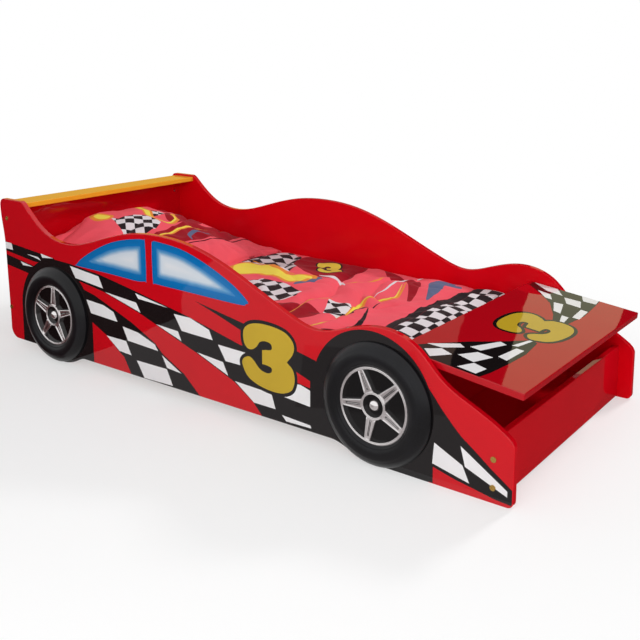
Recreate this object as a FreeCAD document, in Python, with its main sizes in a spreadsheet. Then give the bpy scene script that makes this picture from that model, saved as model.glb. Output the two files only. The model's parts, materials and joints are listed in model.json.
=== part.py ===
"""Race-car bed for a child, as an assembly of separate pieces. Millimetres, +X to the nose, +Z up.

Bed coordinates, used throughout: x from the rearmost point of the tail, y from the middle of the
bed towards its left side, z above the floor. Every piece is then moved back by half the length
that the bed has with its lid open at rest, so the origin is on the floor below the middle.
"""

import FreeCAD, Part
import math
import os

import Sketcher
from FreeCAD import Placement, Rotation, Vector

# ---------------------------------------------------------------- driving sizes, in mm and degrees

SIZES = {
    # boards, all of lacquered fibreboard
    "board": 16.0,
    "edge_round": 2.0,
    "shelf_edge_round": 3.0,
    # mattress, and the room that the frame leaves round it
    "mattress_length": 1400.0,
    "mattress_width": 700.0,
    "mattress_height": 100.0,
    "mattress_corner": 30.0,
    "mattress_tuck": 7.0,
    "mattress_tuck_height": 14.0,
    "mattress_side_gap": 14.0,
    "mattress_end_gap": 6.75,
    "soft_gap": 0.3,
    # slatted base
    "slat_top_z": 110.0,
    "slat_width": 70.0,
    "slat_thickness": 12.0,
    "slat_end_gap": 2.0,
    "slat_margin": 12.0,
    "rail_width": 22.0,
    "rail_height": 40.0,
    "rail_end_gap": 17.5,
    "strap_width": 25.0,
    "strap_thickness": 1.0,
    "strap_y": 200.0,
    # head end
    "headboard_inset": 26.5,
    "headboard_bottom_z": 60.0,
    "shelf_inset": 20.0,
    "shelf_depth": 94.0,
    "shelf_drop": 7.0,
    # toy box under the lid
    "partition_bottom_z": 30.0,
    "toy_box_length": 249.0,
    "toy_box_floor_z": 30.0,
    "cleat_size": 20.0,
    "cleat_end_gap": 14.0,
    "front_panel_bottom_z": 3.0,
    "nose_overhang": 38.6,
    # lid: tilt is the fall towards the nose
    "lid_overhang": 46.0,
    "lid_side_gap": 3.0,
    "lid_rear_overhang": 2.33,
    "lid_rest_tilt": 7.1,
    "lid_closed_tilt": 25.5,
    "lid_seat_gap": 0.3,
    "lid_front_round": 4.0,
    # hinges
    "hinge_axis_z": 267.4,
    "hinge_y": 215.0,
    "hinge_length": 60.0,
    "knuckle_r": 3.5,
    "knuckle_gap": 0.3,
    "hinge_pin_r": 1.5,
    "hinge_pin_play": 0.05,
    "hinge_pin_head_r": 2.8,
    "hinge_pin_head_height": 0.8,
    "leaf_thickness": 1.5,
    "leaf_width": 28.0,
    "leaf_screw_pitch": 22.0,
    "leaf_screw_inset": 17.0,
    "leaf_screw_r": 1.7,
    "leaf_screw_depth": 12.0,
    "leaf_screw_head_r": 3.4,
    "leaf_screw_head_height": 1.2,
    # wheel covers
    "wheel_floor_gap": 1.0,
    "rear_wheel_x": 267.0,
    "front_wheel_back": 21.0,
    "tyre_r": 146.0,
    "tyre_shoulder": 6.0,
    "tyre_bulge": 23.0,
    "tyre_crest_r": 122.0,
    "tyre_lip": 15.0,
    "dish_thickness": 6.0,
    "rim_r": 92.0,
    "rim_ring_width": 6.5,
    "rim_height": 14.0,
    "rim_play": 0.2,
    "spoke_hub_width": 26.0,
    "spoke_ring_width": 15.0,
    "spoke_thickness": 6.0,
    "spoke_slot_width": 5.0,
    "spoke_slot_depth": 3.0,
    "spoke_slot_margin": 8.0,
    "hub_outer_r": 33.0,
    "hub_inner_r": 27.0,
    "cap_r": 13.0,
    "cap_height": 11.0,
    "cap_flange_height": 3.0,
    "cap_flat_r": 2.0,
    "wheel_screw_circle_r": 60.0,
    "wheel_screw_r": 2.0,
    "wheel_screw_bite": 4.0,
    "wheel_screw_head_r": 4.5,
    "wheel_screw_head_height": 2.0,
    # connector bolts with barrel nuts
    "bolt_r": 3.0,
    "bolt_length": 50.0,
    "bolt_play": 0.3,
    "bolt_head_r": 6.5,
    "bolt_head_height": 2.0,
    "bolt_socket_r": 2.2,
    "bolt_socket_depth": 1.2,
    "nut_r": 5.0,
    "nut_length": 12.0,
    "nut_inset": 28.0,
    "rear_bolt_low_z": 130.0,
    "rear_bolt_drop": 38.5,
    "front_bolt_low_z": 35.5,
    "front_bolt_drop": 47.5,
    # countersunk screws that hold the partition, hidden by the front wheel covers
    "panel_screw_r": 2.5,
    "panel_screw_length": 55.0,
    "panel_screw_head_r": 5.0,
    "panel_screw_head_height": 3.0,
    "panel_screw_low_z": 78.0,
    "panel_screw_high_z": 216.0,
    # dowels
    "dowel_r": 4.0,
    "dowel_length": 36.0,
    "dowel_panel_depth": 11.0,
    "dowel_play": 0.2,
    "headboard_dowel_low_z": 210.0,
    "headboard_dowel_high_z": 340.0,
    "partition_dowel_z": 147.0,
    "front_dowel_z": 67.0,
    "floor_dowel_pitch": 120.0,
    "shelf_dowel_pitch": 44.0,
    # rail screws
    "rail_screw_r": 2.0,
    "rail_screw_bite": 10.0,
    "rail_screw_margin": 60.0,
    "rail_screw_head_r": 4.0,
    "rail_screw_head_height": 1.8,
    # bedding
    "pillow_length": 546.0,
    "pillow_side_inset": 4.0,
    "pillow_loft": 188.0,
    "pillow_back_gap": 1.5,
    "pillow_foot_inset": 14.0,
    "duvet_side_overhang": 6.0,
    "duvet_foot_inset": 6.0,
    "duvet_loft": 46.0,
}

# Outline of a side panel. Along the bottom the two wheels dip to the floor; the tail and the nose
# have round corners. Each point of the top is (x from its anchor, height above the floor), where
# the anchor is the middle of the mattress, the partition or the nose. Those anchored to the fin are
# measured from the tail and from the fin's top.
PANEL = {
    "sill_z": 29.6,
    "tail_corner_x": 27.0,
    "tail_corner_r": 35.0,
    "tail_waist_x": 21.0,
    "tail_waist_z": 250.0,
    "tail_shoulder_x": 13.5,
    "tail_shoulder_z": 365.0,
    "fin_rear_r": 20.0,
    "fin_top_z": 480.0,
    "wheel_dip_half_length": 110.0,
    "wheel_dip_flank": 66.0,
    "wheel_dip_flank_z": 14.0,
    "rear_dip_x": 284.0,
    "front_dip_back": 40.0,
    "nose_bottom_r": 15.0,
    "nose_face_top_z": 130.0,
}
TOP = {
    "fin_front": ("fin", 104.0, 0.0),
    "fin_fall": ("fin", 129.0, -14.0),
    "fin_slope": ("fin", 180.0, -57.0),
    "fin_foot": ("fin", 225.0, -85.0),
    "head_dip": ("fin", 335.0, -106.5),
    "roof_rise": ("middle", -269.3, 406.0),
    "roof_rear": ("middle", -149.3, 438.0),
    "roof_crest": ("middle", -39.3, 448.0),
    "roof_front": ("middle", 110.7, 433.5),
    "screen_top": ("partition", -476.0, 395.5),
    "screen_foot": ("partition", -276.0, 309.0),
    "waist_dip": ("partition", -194.0, 288.0),
    "fender_rise": ("partition", -116.0, 306.5),
    "fender_crest": ("partition", -11.0, 329.0),
    "fender_front": ("partition", 84.0, 300.0),
    "bonnet_top": ("nose", -175.6, 243.0),
    "bonnet_middle": ("nose", -95.6, 199.0),
    "nose_brow": ("nose", -20.6, 158.0),
    "nose_tip": ("nose", -4.4, 143.0),
}

# Stations of the bedding along the bed. Pillow: share of its length from the head end, share of
# its half width, then its underside, its edge seam and its crown as shares of its loft.
PILLOW_STATIONS = [
    (0.0, 0.93, 0.468, 0.553, 0.798),
    (0.06, 0.975, 0.223, 0.532, 0.936),
    (0.2, 1.0, 0.032, 0.468, 1.0),
    (0.4, 0.985, 0.0053, 0.404, 0.915),
    (0.6, 0.975, 0.0053, 0.351, 0.777),
    (0.78, 0.985, 0.043, 0.319, 0.601),
    (0.91, 1.0, 0.181, 0.298, 0.447),
    (1.0, 0.95, 0.266, 0.303, 0.34),
]
# Duvet: share of its length from the head end, crown height as a share of its loft, edge height
# as a share of its loft; it rolls in at the pillow and hangs off its thickest part at the foot.
DUVET_STATIONS = [
    (0.0, 0.32, 0.30),
    (0.05, 0.78, 0.70),
    (0.14, 1.04, 0.86),
    (0.27, 1.13, 0.92),
    (0.36, 1.05, 0.86),
    (0.50, 1.12, 0.84),
    (0.62, 1.02, 0.80),
    (0.74, 1.06, 0.76),
    (0.86, 0.92, 0.70),
    (0.95, 0.80, 0.60),
    (1.0, 0.45, 0.36),
]

DUVET_TUCK_SHARE = 0.148  # of the pillow's length, tucked under its front edge
FLANK_INSET_SHARE = 0.3  # of the way from a seam in to the foot, at half the flank's height
MATTRESS_WAIST_SHARE = 0.4  # of the tuck
CAP_BULGE = (0.68, 0.63)  # a point of the cap's dome, as shares of its radius and height

SLATS = 13
SPOKES = 5
SPOKE_PHASES = {"front": 115.0, "rear": 87.0}  # first spoke, from the nose direction upwards
WHEEL_SCREWS = 4
LEAF_SCREWS = 3
KNUCKLES = 5  # the frame leaf has the odd ones, the lid leaf the even ones
RAIL_SCREWS = 5
SIDES = {"right": -1, "left": 1}

doc = FreeCAD.newDocument("race_car_bed")
sheet = doc.addObject("Spreadsheet::Sheet", "Sizes")
pieces = []


# ------------------------------------------------------------------------------ sizes of the sheet


class Size:
    """A number with the sheet expression that works it out."""

    def __init__(self, value, text=None):
        self.value = float(value)
        self.text = text or f"{self.value:g}"

    def joined(self, sign, other, value):
        return Size(value, f"({self.text} {sign} {other.text})")

    def __add__(self, other):
        other = as_size(other)
        return self.joined("+", other, self.value + other.value)

    def __sub__(self, other):
        other = as_size(other)
        return self.joined("-", other, self.value - other.value)

    def __mul__(self, other):
        other = as_size(other)
        return self.joined("*", other, self.value * other.value)

    def __truediv__(self, other):
        other = as_size(other)
        return self.joined("/", other, self.value / other.value)

    def __neg__(self):
        return Size(-self.value, f"(0 - {self.text})")

    __radd__ = __add__
    __rmul__ = __mul__

    def __rsub__(self, other):
        return as_size(other) - self


def as_size(number):
    return number if isinstance(number, Size) else Size(number)


def of_angle(function, angle):
    """sin, cos or tan of an angle held as plain degrees."""
    value = getattr(math, function)(math.radians(angle.value))
    return Size(value, f"{function}({angle.text} * 1 deg)")


def fill_sheet(values):
    """Writes each driving size to its own cell, with its name beside it and as its alias."""
    for row, (name, value) in enumerate(values.items(), start=1):
        sheet.set(f"A{row}", name)
        sheet.set(f"B{row}", f"{value:g}")
        sheet.setAlias(f"B{row}", name)
    doc.recompute()
    return {name: Size(value, f"Sizes.{name}") for name, value in values.items()}


top_sizes = {}
for point_name, (_, point_x, point_z) in TOP.items():
    top_sizes[point_name + "_x"] = point_x
    top_sizes[point_name + "_z"] = point_z
size = fill_sheet({**SIZES, **PANEL, **top_sizes})

# places along the bed
headboard_x = size["headboard_inset"]
mattress_x = headboard_x + size["board"] + size["mattress_end_gap"]
partition_x = mattress_x + size["mattress_length"] + size["mattress_end_gap"]
toy_box_x = partition_x + size["board"]
front_panel_x = toy_box_x + size["toy_box_length"]
nose_x = front_panel_x + size["board"] + size["nose_overhang"]
hinge_x = toy_box_x + size["knuckle_r"]
front_wheel_x = partition_x - size["front_wheel_back"]
middle_x = mattress_x + size["mattress_length"] / 2
pillow_x = headboard_x + size["board"] + size["pillow_back_gap"]

# places across the bed
inner_y = size["mattress_width"] / 2 + size["mattress_side_gap"]
outer_y = inner_y + size["board"]

# heights
rail_top_z = size["slat_top_z"] - size["slat_thickness"]
mattress_z = size["slat_top_z"] + size["soft_gap"]
mattress_top_z = mattress_z + size["mattress_height"]
partition_top_z = size["hinge_axis_z"] - size["knuckle_r"]
wheel_z = size["tyre_r"] + size["wheel_floor_gap"]
shelf_z = size["fin_top_z"] - size["shelf_drop"] - size["board"]

# the lid, measured in its own plane from the hinge axis
lid_length = size["toy_box_length"] + size["board"] + size["lid_overhang"]
lid_reach = lid_length - size["lid_rear_overhang"]
lid_top = size["knuckle_r"] + size["board"]
lid_front_x = (
    hinge_x
    + lid_reach * of_angle("cos", size["lid_rest_tilt"])
    + lid_top * of_angle("sin", size["lid_rest_tilt"])
)
front_panel_top_z = (
    size["hinge_axis_z"]
    + size["knuckle_r"] / of_angle("cos", size["lid_closed_tilt"])
    - (front_panel_x + size["board"] - hinge_x) * of_angle("tan", size["lid_closed_tilt"])
    - size["lid_seat_gap"]
)
centre_x = lid_front_x / 2


# --------------------------------------------------------------------------------- shape helpers


def bind(target, **expressions):
    """Sets properties from sizes; two underscores in a name stand for a dot."""
    for path, number in expressions.items():
        target.setExpression(path.replace("__", "."), as_size(number).text)


def place(target, x=0.0, y=0.0, z=0.0, rotation=None):
    """Puts an object at (x, y, z), turned by rotation, an (axis, degrees) pair."""
    if rotation:
        axis, angle = rotation
        target.Placement = Placement(Vector(), Rotation(axis, as_size(angle).value))
        if isinstance(angle, Size):
            bind(target, Placement__Rotation__Angle=Size(angle.value, f"{angle.text} * 1 deg"))
    bind(target, Placement__Base__x=x, Placement__Base__y=y, Placement__Base__z=z)
    return target


def kept(target, label, x=0.0, y=0.0, z=0.0, rotation=None):
    """Names a finished piece and moves it from bed coordinates to the part's origin."""
    place(target, x - centre_x, y, z, rotation)
    target.Label = label
    pieces.append(target)
    return target


def box(name, corner, lengths):
    made = doc.addObject("Part::Box", name)
    bind(made, Length=lengths[0], Width=lengths[1], Height=lengths[2])
    return place(made, *corner)


def kept_box(label, corner, lengths):
    """A finished piece that is a plain square-edged bar."""
    return kept(box(label + "_bar", (0, 0, 0), lengths), label, *corner)


def cylinder(name, base, direction, radius, length):
    """A cylinder that starts at base and runs along direction, one of +X, -X, +Y, -Y, +Z, -Z."""
    turns = {
        "+X": (Vector(0, 1, 0), 90),
        "-X": (Vector(0, 1, 0), -90),
        "+Y": (Vector(1, 0, 0), -90),
        "-Y": (Vector(1, 0, 0), 90),
        "+Z": (Vector(1, 0, 0), 0),
        "-Z": (Vector(1, 0, 0), 180),
    }
    made = doc.addObject("Part::Cylinder", name)
    bind(made, Radius=radius, Height=length)
    return place(made, *base, rotation=turns[direction])


def fuse(name, shapes):
    made = doc.addObject("Part::MultiFuse", name)
    made.Shapes = shapes
    return made


def group(name, shapes):
    made = doc.addObject("Part::Compound", name)
    made.Links = shapes
    return made


def cut(name, base, tools):
    """base less each of the tools in turn."""
    for number, tool in enumerate(tools):
        made = doc.addObject("Part::Cut", f"{name}_cut_{number}")
        made.Base = base
        made.Tool = tool
        base = made
    return base


def along(point, direction, distance):
    """point moved by distance along one of +X, -X, +Y, -Y, +Z, -Z."""
    moved = list(point)
    axis = "XYZ".index(direction[1])
    moved[axis] = moved[axis] + distance if direction[0] == "+" else moved[axis] - distance
    return moved


def new_body(name):
    return doc.addObject("PartDesign::Body", name)


def sketch_on(body, plane, name, offset=0.0):
    """A sketch on one of the body's own planes, moved along the plane's normal by offset."""
    sketch = body.newObject("Sketcher::SketchObject", name)
    origin_plane = next(f for f in body.Origin.OriginFeatures if f.Role == plane)
    sketch.AttachmentSupport = (origin_plane, [""])
    sketch.MapMode = "FlatFace"
    bind(sketch, AttachmentOffset__Base__z=offset)
    return sketch


def fix_point(sketch, edge, end, corner):
    """Binds one end of an edge to its two coordinates."""
    for kind, coordinate in zip(("DistanceX", "DistanceY"), corner):
        number = sketch.addConstraint(
            Sketcher.Constraint(kind, -1, 1, edge, end, coordinate.value)
        )
        sketch.setExpression(f"Constraints[{number}]", coordinate.text)


def outline(sketch, start, steps):
    """Draws a closed outline from start. A step is ("line", corner), ("arc", through, corner) or
    ("curve", direction at its start, [points between], direction at its end, corner); each corner
    is a pair of sizes."""
    start = tuple(as_size(number) for number in start)
    here, ends = start, []
    for kind, *points in steps:
        corner = tuple(as_size(number) for number in points[-1])
        first, last = flat(here), flat(corner)
        if kind == "line":
            edge = Part.LineSegment(first, last)
        elif kind == "arc":
            edge = Part.Arc(first, flat(points[0]), last)
        else:
            leave, between, arrive = points[:-1]
            edge = smooth_curve([first] + [flat(p) for p in between] + [last], leave, arrive)
        number = sketch.addGeometry(edge, False)
        drawn = sketch.Geometry[number]
        forward = (drawn.StartPoint - first).Length < (drawn.EndPoint - first).Length
        ends.append((number, 1 if forward else 2, 2 if forward else 1))
        fix_point(sketch, number, ends[-1][1], here)
        if kind == "arc":
            fix_through(sketch, number, points[0])
        here = corner
    for (edge, _, tail), (following, head, _) in zip(ends, ends[1:] + ends[:1]):
        sketch.addConstraint(Sketcher.Constraint("Coincident", edge, tail, following, head))


def smooth_curve(points, leave, arrive):
    """A curve through points at even speed, with its directions at both ends."""
    travel = [0.0]
    for before, after in zip(points, points[1:]):
        travel.append(travel[-1] + (after - before).Length)
    curve = Part.BSplineCurve()
    curve.interpolate(
        Points=points, Parameters=travel, InitialTangent=Vector(*leave, 0),
        FinalTangent=Vector(*arrive, 0), Scale=False,
    )
    return curve


def flat(point):
    return Vector(as_size(point[0]).value, as_size(point[1]).value, 0)


def fix_through(sketch, edge, through):
    """Holds an arc to a construction point at bound coordinates."""
    point = sketch.addGeometry(Part.Point(flat(through)), True)
    fix_point(sketch, point, 1, [as_size(number) for number in through])
    sketch.addConstraint(Sketcher.Constraint("PointOnObject", point, 1, edge))


def rectangle(sketch, low, high):
    corners = [(high[0], low[1]), high, (low[0], high[1]), low]
    outline(sketch, low, [("line", corner) for corner in corners])


def pad(body, sketch, length, reverse=False):
    made = body.newObject("PartDesign::Pad", sketch.Name + "_pad")
    made.Profile = sketch
    made.Reversed = reverse
    bind(made, Length=length)
    sketch.Visibility = False
    return made


def pocket(body, sketch, depth, reverse=False):
    made = body.newObject("PartDesign::Pocket", sketch.Name + "_pocket")
    made.Profile = sketch
    made.Reversed = reverse
    bind(made, Length=depth)
    return made


def revolve(body, sketch):
    """Turns a sketch on the XZ plane about the body's Z axis."""
    made = body.newObject("PartDesign::Revolution", sketch.Name + "_turned")
    made.Profile = sketch
    made.ReferenceAxis = (sketch, ["V_Axis"])
    made.Angle = 360
    return made


def polar(body, features, count):
    """Repeats features about the body's Z axis."""
    made = body.newObject("PartDesign::PolarPattern", features[-1].Name + "_round")
    made.Originals = features
    z_axis = next(f for f in body.Origin.OriginFeatures if f.Role == "Z_Axis")
    made.Axis = (z_axis, [""])
    made.Angle = 360
    made.Occurrences = count
    body.Tip = made
    return made


def round_edges(body, feature, radius, wanted):
    """Rounds the edges of a feature for which wanted(edge) is true."""
    doc.recompute()
    names = [f"Edge{i}" for i, e in enumerate(feature.Shape.Edges, start=1) if wanted(e)]
    made = body.newObject("PartDesign::Fillet", feature.Name + "_rounded")
    made.Base = (feature, names)
    bind(made, Radius=radius)
    return made


def board(name, corner, lengths, wanted, radius=None):
    """A board as a padded rectangle, with the wanted edges rounded."""
    body = new_body(name)
    sketch = sketch_on(body, "XY_Plane", name + "_outline", corner[2])
    rectangle(sketch, corner[:2], (corner[0] + lengths[0], corner[1] + lengths[1]))
    padded = pad(body, sketch, lengths[2])
    round_edges(body, padded, radius or size["edge_round"], wanted)
    return body


def runs_along(edge, axis):
    direction = edge.lastVertex().Point - edge.firstVertex().Point
    return abs(direction.dot(axis)) > 0.999 * direction.Length


# -------------------------------------------------------------------------------------- fasteners


def pin_group(name, places, radius, length):
    """Plain cylinders at places, each a (base, direction) pair."""
    return [
        cylinder(f"{name}_{number}", base, direction, radius, length)
        for number, (base, direction) in enumerate(places)
    ]


def screws(name, places, radius, length, head_r, head_height):
    """Pan-head screws. A place is the point under the head and the way that the shank runs."""
    made = []
    for number, (seat, direction) in enumerate(places):
        back = ("-" if direction[0] == "+" else "+") + direction[1]
        shank = cylinder(f"{name}_shank_{number}", seat, direction, radius, length)
        head = cylinder(f"{name}_head_{number}", seat, back, head_r, head_height)
        made.append(fuse(f"{name}_{number}", [shank, head]))
    return made


def bolt_places():
    """Connector bolts: under each head, at the headboard and at the front panel."""
    columns = [
        ("rear", headboard_x, (size["rear_bolt_low_z"], shelf_z - size["rear_bolt_drop"])),
        ("front", front_panel_x,
         (size["front_bolt_low_z"], front_panel_top_z - size["front_bolt_drop"])),
    ]
    places = {}
    for end, board_x, heights in columns:
        middle = board_x + size["board"] / 2
        places[end] = [
            ((middle, outer_y * side, height), "-Y" if side > 0 else "+Y")
            for side in SIDES.values()
            for height in heights
        ]
    return places


def dowel_places():
    """Dowels: the end of each in the side panel, pointing to the middle of the bed."""
    half = size["board"] / 2
    floor_middle = toy_box_x + size["toy_box_length"] / 2
    shelf_middle = size["shelf_inset"] + size["shelf_depth"] / 2
    spots = [
        (headboard_x + half, size["headboard_dowel_low_z"]),
        (headboard_x + half, size["headboard_dowel_high_z"]),
        (partition_x + half, size["partition_dowel_z"]),
        (front_panel_x + half, size["front_dowel_z"]),
    ]
    for sign in (-1, 1):
        spots.append((
            floor_middle + size["floor_dowel_pitch"] / 2 * sign,
            size["toy_box_floor_z"] + half,
        ))
        spots.append((shelf_middle + size["shelf_dowel_pitch"] / 2 * sign, shelf_z + half))
    end_y = inner_y + size["dowel_panel_depth"]
    return [
        ((x, end_y * side, z), "-Y" if side > 0 else "+Y")
        for side in SIDES.values()
        for x, z in spots
    ]


def grown(places, play):
    """Places moved back by play, for a hole that is longer than its dowel at both ends."""
    moved = []
    for base, direction in places:
        back = ("-" if direction[0] == "+" else "+") + direction[1]
        moved.append((along(base, back, play), direction))
    return moved


def connector_bolts():
    """Bolts with socket heads, barrel nuts across the boards, and the holes for both."""
    holes = []
    for end, places in bolt_places().items():
        bolts, nuts, nut_holes = [], [], []
        for number, (seat, direction) in enumerate(places):
            back = ("-" if direction[0] == "+" else "+") + direction[1]
            name = f"{end}_bolt_{number}"
            shank = cylinder(name + "_shank", seat, direction, size["bolt_r"], size["bolt_length"])
            head = cylinder(
                name + "_head", seat, back, size["bolt_head_r"], size["bolt_head_height"]
            )
            mouth = along(seat, back, size["bolt_head_height"])
            socket = cylinder(
                name + "_socket", mouth, direction,
                size["bolt_socket_r"], size["bolt_socket_depth"],
            )
            bolts.append(cut(name, fuse(name + "_solid", [shank, head]), [socket]))
            nut_seat = along(seat, direction, size["board"] + size["nut_inset"])
            inner_face = nut_seat[0] + size["board"] / 2
            if end == "front":
                inner_face = nut_seat[0] - size["board"] / 2
            way = "-X" if end == "rear" else "+X"
            nut_base = (inner_face, nut_seat[1], nut_seat[2])
            barrel = cylinder(name + "_barrel", nut_base, way, size["nut_r"], size["nut_length"])
            thread = cylinder(name + "_thread", seat, direction, size["bolt_r"], size["bolt_length"])
            nuts.append(cut(name + "_nut", barrel, [thread]))
            nut_holes.append(cylinder(
                name + "_nut_hole", nut_base, way,
                size["nut_r"] + size["bolt_play"], size["nut_length"] + size["bolt_play"],
            ))
            holes.append(fuse(name + "_holes", [nut_holes[-1], cylinder(
                name + "_hole", seat, direction,
                size["bolt_r"] + size["bolt_play"], size["bolt_length"] + size["bolt_play"],
            )]))
        kept(group(f"{end}_bolts", bolts), f"{end}_bolts")
        kept(group(f"{end}_barrel_nuts", nuts), f"{end}_barrel_nuts")
    return holes


def partition_screws():
    """Countersunk screws through the side panels into the partition, and their holes."""
    screw_solids, holes = [], []
    places = [
        ((partition_x + size["board"] / 2, outer_y * side, size[height]), side)
        for side in SIDES.values()
        for height in ("panel_screw_low_z", "panel_screw_high_z")
    ]
    for number, (seat, side) in enumerate(places):
        direction = "-Y" if side > 0 else "+Y"
        for store, name, play in (
            (screw_solids, f"panel_screw_{number}", Size(0)),
            (holes, f"panel_screw_hole_{number}", size["dowel_play"]),
        ):
            shank = cylinder(
                name + "_shank", seat, direction,
                size["panel_screw_r"] + play, size["panel_screw_length"] + play,
            )
            head = doc.addObject("Part::Cone", name + "_head")
            bind(
                head, Radius1=size["panel_screw_head_r"] + play,
                Radius2=size["panel_screw_r"] + play, Height=size["panel_screw_head_height"],
            )
            place(head, *seat, rotation=(Vector(1, 0, 0), 90 * side))
            store.append(fuse(name, [shank, head]))
    kept(group("partition_screws", screw_solids), "partition_screws")
    return holes


def dowels():
    places = dowel_places()
    solids = pin_group("dowel", places, size["dowel_r"], size["dowel_length"])
    kept(group("dowels", solids), "dowels")
    return pin_group(
        "dowel_hole", grown(places, size["dowel_play"]),
        size["dowel_r"] + size["dowel_play"], size["dowel_length"] + 2 * size["dowel_play"],
    )


# ------------------------------------------------------------------------------------ side panels


def panel_steps():
    """Outline of a side panel from the rear end of its bottom edge, anticlockwise."""
    level, up, down, back = (1, 0), (0, 1), (0, -1), (-1, 0)
    sill = size["sill_z"]
    half_dip, flank = size["wheel_dip_half_length"], size["wheel_dip_flank"]
    flank_z = size["wheel_dip_flank_z"]
    rear_dip = size["rear_dip_x"]
    front_dip = partition_x - size["front_dip_back"]
    nose_r, fin_r, tail_r = size["nose_bottom_r"], size["fin_rear_r"], size["tail_corner_r"]
    fin_z, tail_x = size["fin_top_z"], size["tail_corner_x"]
    share = 1 - math.sqrt(0.5)
    anchors = {
        "fin": (Size(0), fin_z),
        "middle": (middle_x, Size(0)),
        "partition": (partition_x, Size(0)),
        "nose": (nose_x, Size(0)),
    }
    top = [
        (anchors[anchor][0] + size[name + "_x"], anchors[anchor][1] + size[name + "_z"])
        for name, (anchor, _, _) in TOP.items()
    ]
    top.reverse()
    tail = [(size[f"tail_{name}_x"], size[f"tail_{name}_z"]) for name in ("shoulder", "waist")]
    start = (tail_x + tail_r, sill)
    rear_flanks = [(rear_dip - flank, flank_z), (rear_dip, Size(0)), (rear_dip + flank, flank_z)]
    steps = [
        ("line", (rear_dip - half_dip, sill)),
        ("curve", level, rear_flanks, level, (rear_dip + half_dip, sill)),
        ("line", (front_dip - half_dip, sill)),
        ("curve", level, [], level, (front_dip, Size(0))),
        ("line", (nose_x - nose_r, Size(0))),
        ("arc", (nose_x - nose_r * share, nose_r * share), (nose_x, nose_r)),
        ("line", (nose_x, size["nose_face_top_z"])),
        ("curve", up, top[:-1], back, top[-1]),
        ("line", (fin_r, fin_z)),
        ("arc", (fin_r * share, fin_z - fin_r * share), (Size(0), fin_z - fin_r)),
        ("curve", down, tail, down, (tail_x, sill + tail_r)),
        ("arc", (tail_x + tail_r * share, sill + tail_r * share), start),
    ]
    return start, steps


def side_panel(side_name, holes):
    """A side of the bed, cut to the car's outline, with its edges rounded."""
    side = SIDES[side_name]
    name = f"side_panel_{side_name}"
    body = new_body(name + "_body")
    sketch = sketch_on(body, "XZ_Plane", name + "_outline", inner_y * -side)
    start, steps = panel_steps()
    outline(sketch, start, steps)
    padded = pad(body, sketch, size["board"], reverse=side > 0)
    round_edges(
        body, padded, size["edge_round"], lambda edge: not runs_along(edge, Vector(0, 1, 0))
    )
    kept(cut(name, body, [group(name + "_holes", holes)]), name)


# ------------------------------------------------------------------------------- boards and rails


def boards(holes):
    """Headboard, shelf, partition, toy box floor and front panel, between the side panels.
    Each span is its corner in x and z, its two lengths, and which of its edges are round."""
    depth, width = size["board"], 2 * inner_y
    all_holes = group("board_holes", holes)
    shelf_front = size["shelf_inset"] + size["shelf_depth"]
    spans = {
        "headboard": (
            headboard_x, size["headboard_bottom_z"], depth, shelf_z - size["headboard_bottom_z"],
            lambda e: e.CenterOfMass.z < size["headboard_bottom_z"].value + 1,
        ),
        "head_shelf": (
            size["shelf_inset"], shelf_z, size["shelf_depth"], depth,
            lambda e: e.CenterOfMass.x > shelf_front.value - 1
            or e.CenterOfMass.x < size["shelf_inset"].value + 1,
        ),
        "partition_panel": (
            partition_x, size["partition_bottom_z"], depth,
            partition_top_z - size["partition_bottom_z"],
            lambda e: e.CenterOfMass.z > partition_top_z.value - 1,
        ),
        "toy_box_floor": (toy_box_x, size["toy_box_floor_z"], size["toy_box_length"], depth, None),
        "front_panel": (
            front_panel_x, size["front_panel_bottom_z"], depth,
            front_panel_top_z - size["front_panel_bottom_z"],
            lambda e: e.CenterOfMass.z > front_panel_top_z.value - 1
            or e.CenterOfMass.z < size["front_panel_bottom_z"].value + 1,
        ),
    }
    across = Vector(0, 1, 0)
    for name, (x, z, length, height, wanted) in spans.items():
        if wanted is None:
            base = box(name + "_board", (x, -inner_y, z), (length, width, height))
        else:
            radius = size["shelf_edge_round"] if name == "head_shelf" else None
            base = board(
                name + "_board", (x, -inner_y, z), (length, width, height),
                lambda e, wanted=wanted: runs_along(e, across) and wanted(e), radius,
            )
        kept(cut(name, base, [all_holes]), name)


def cleats():
    """Strips that carry the toy box floor at the side panels."""
    edge = size["cleat_size"]
    x = toy_box_x + size["cleat_end_gap"]
    length = size["toy_box_length"] - 2 * size["cleat_end_gap"]
    z = size["toy_box_floor_z"] - edge
    for side_name, side in SIDES.items():
        y = inner_y - edge if side > 0 else -inner_y
        kept_box(f"toy_box_cleat_{side_name}", (x, y, z), (length, edge, edge))


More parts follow.
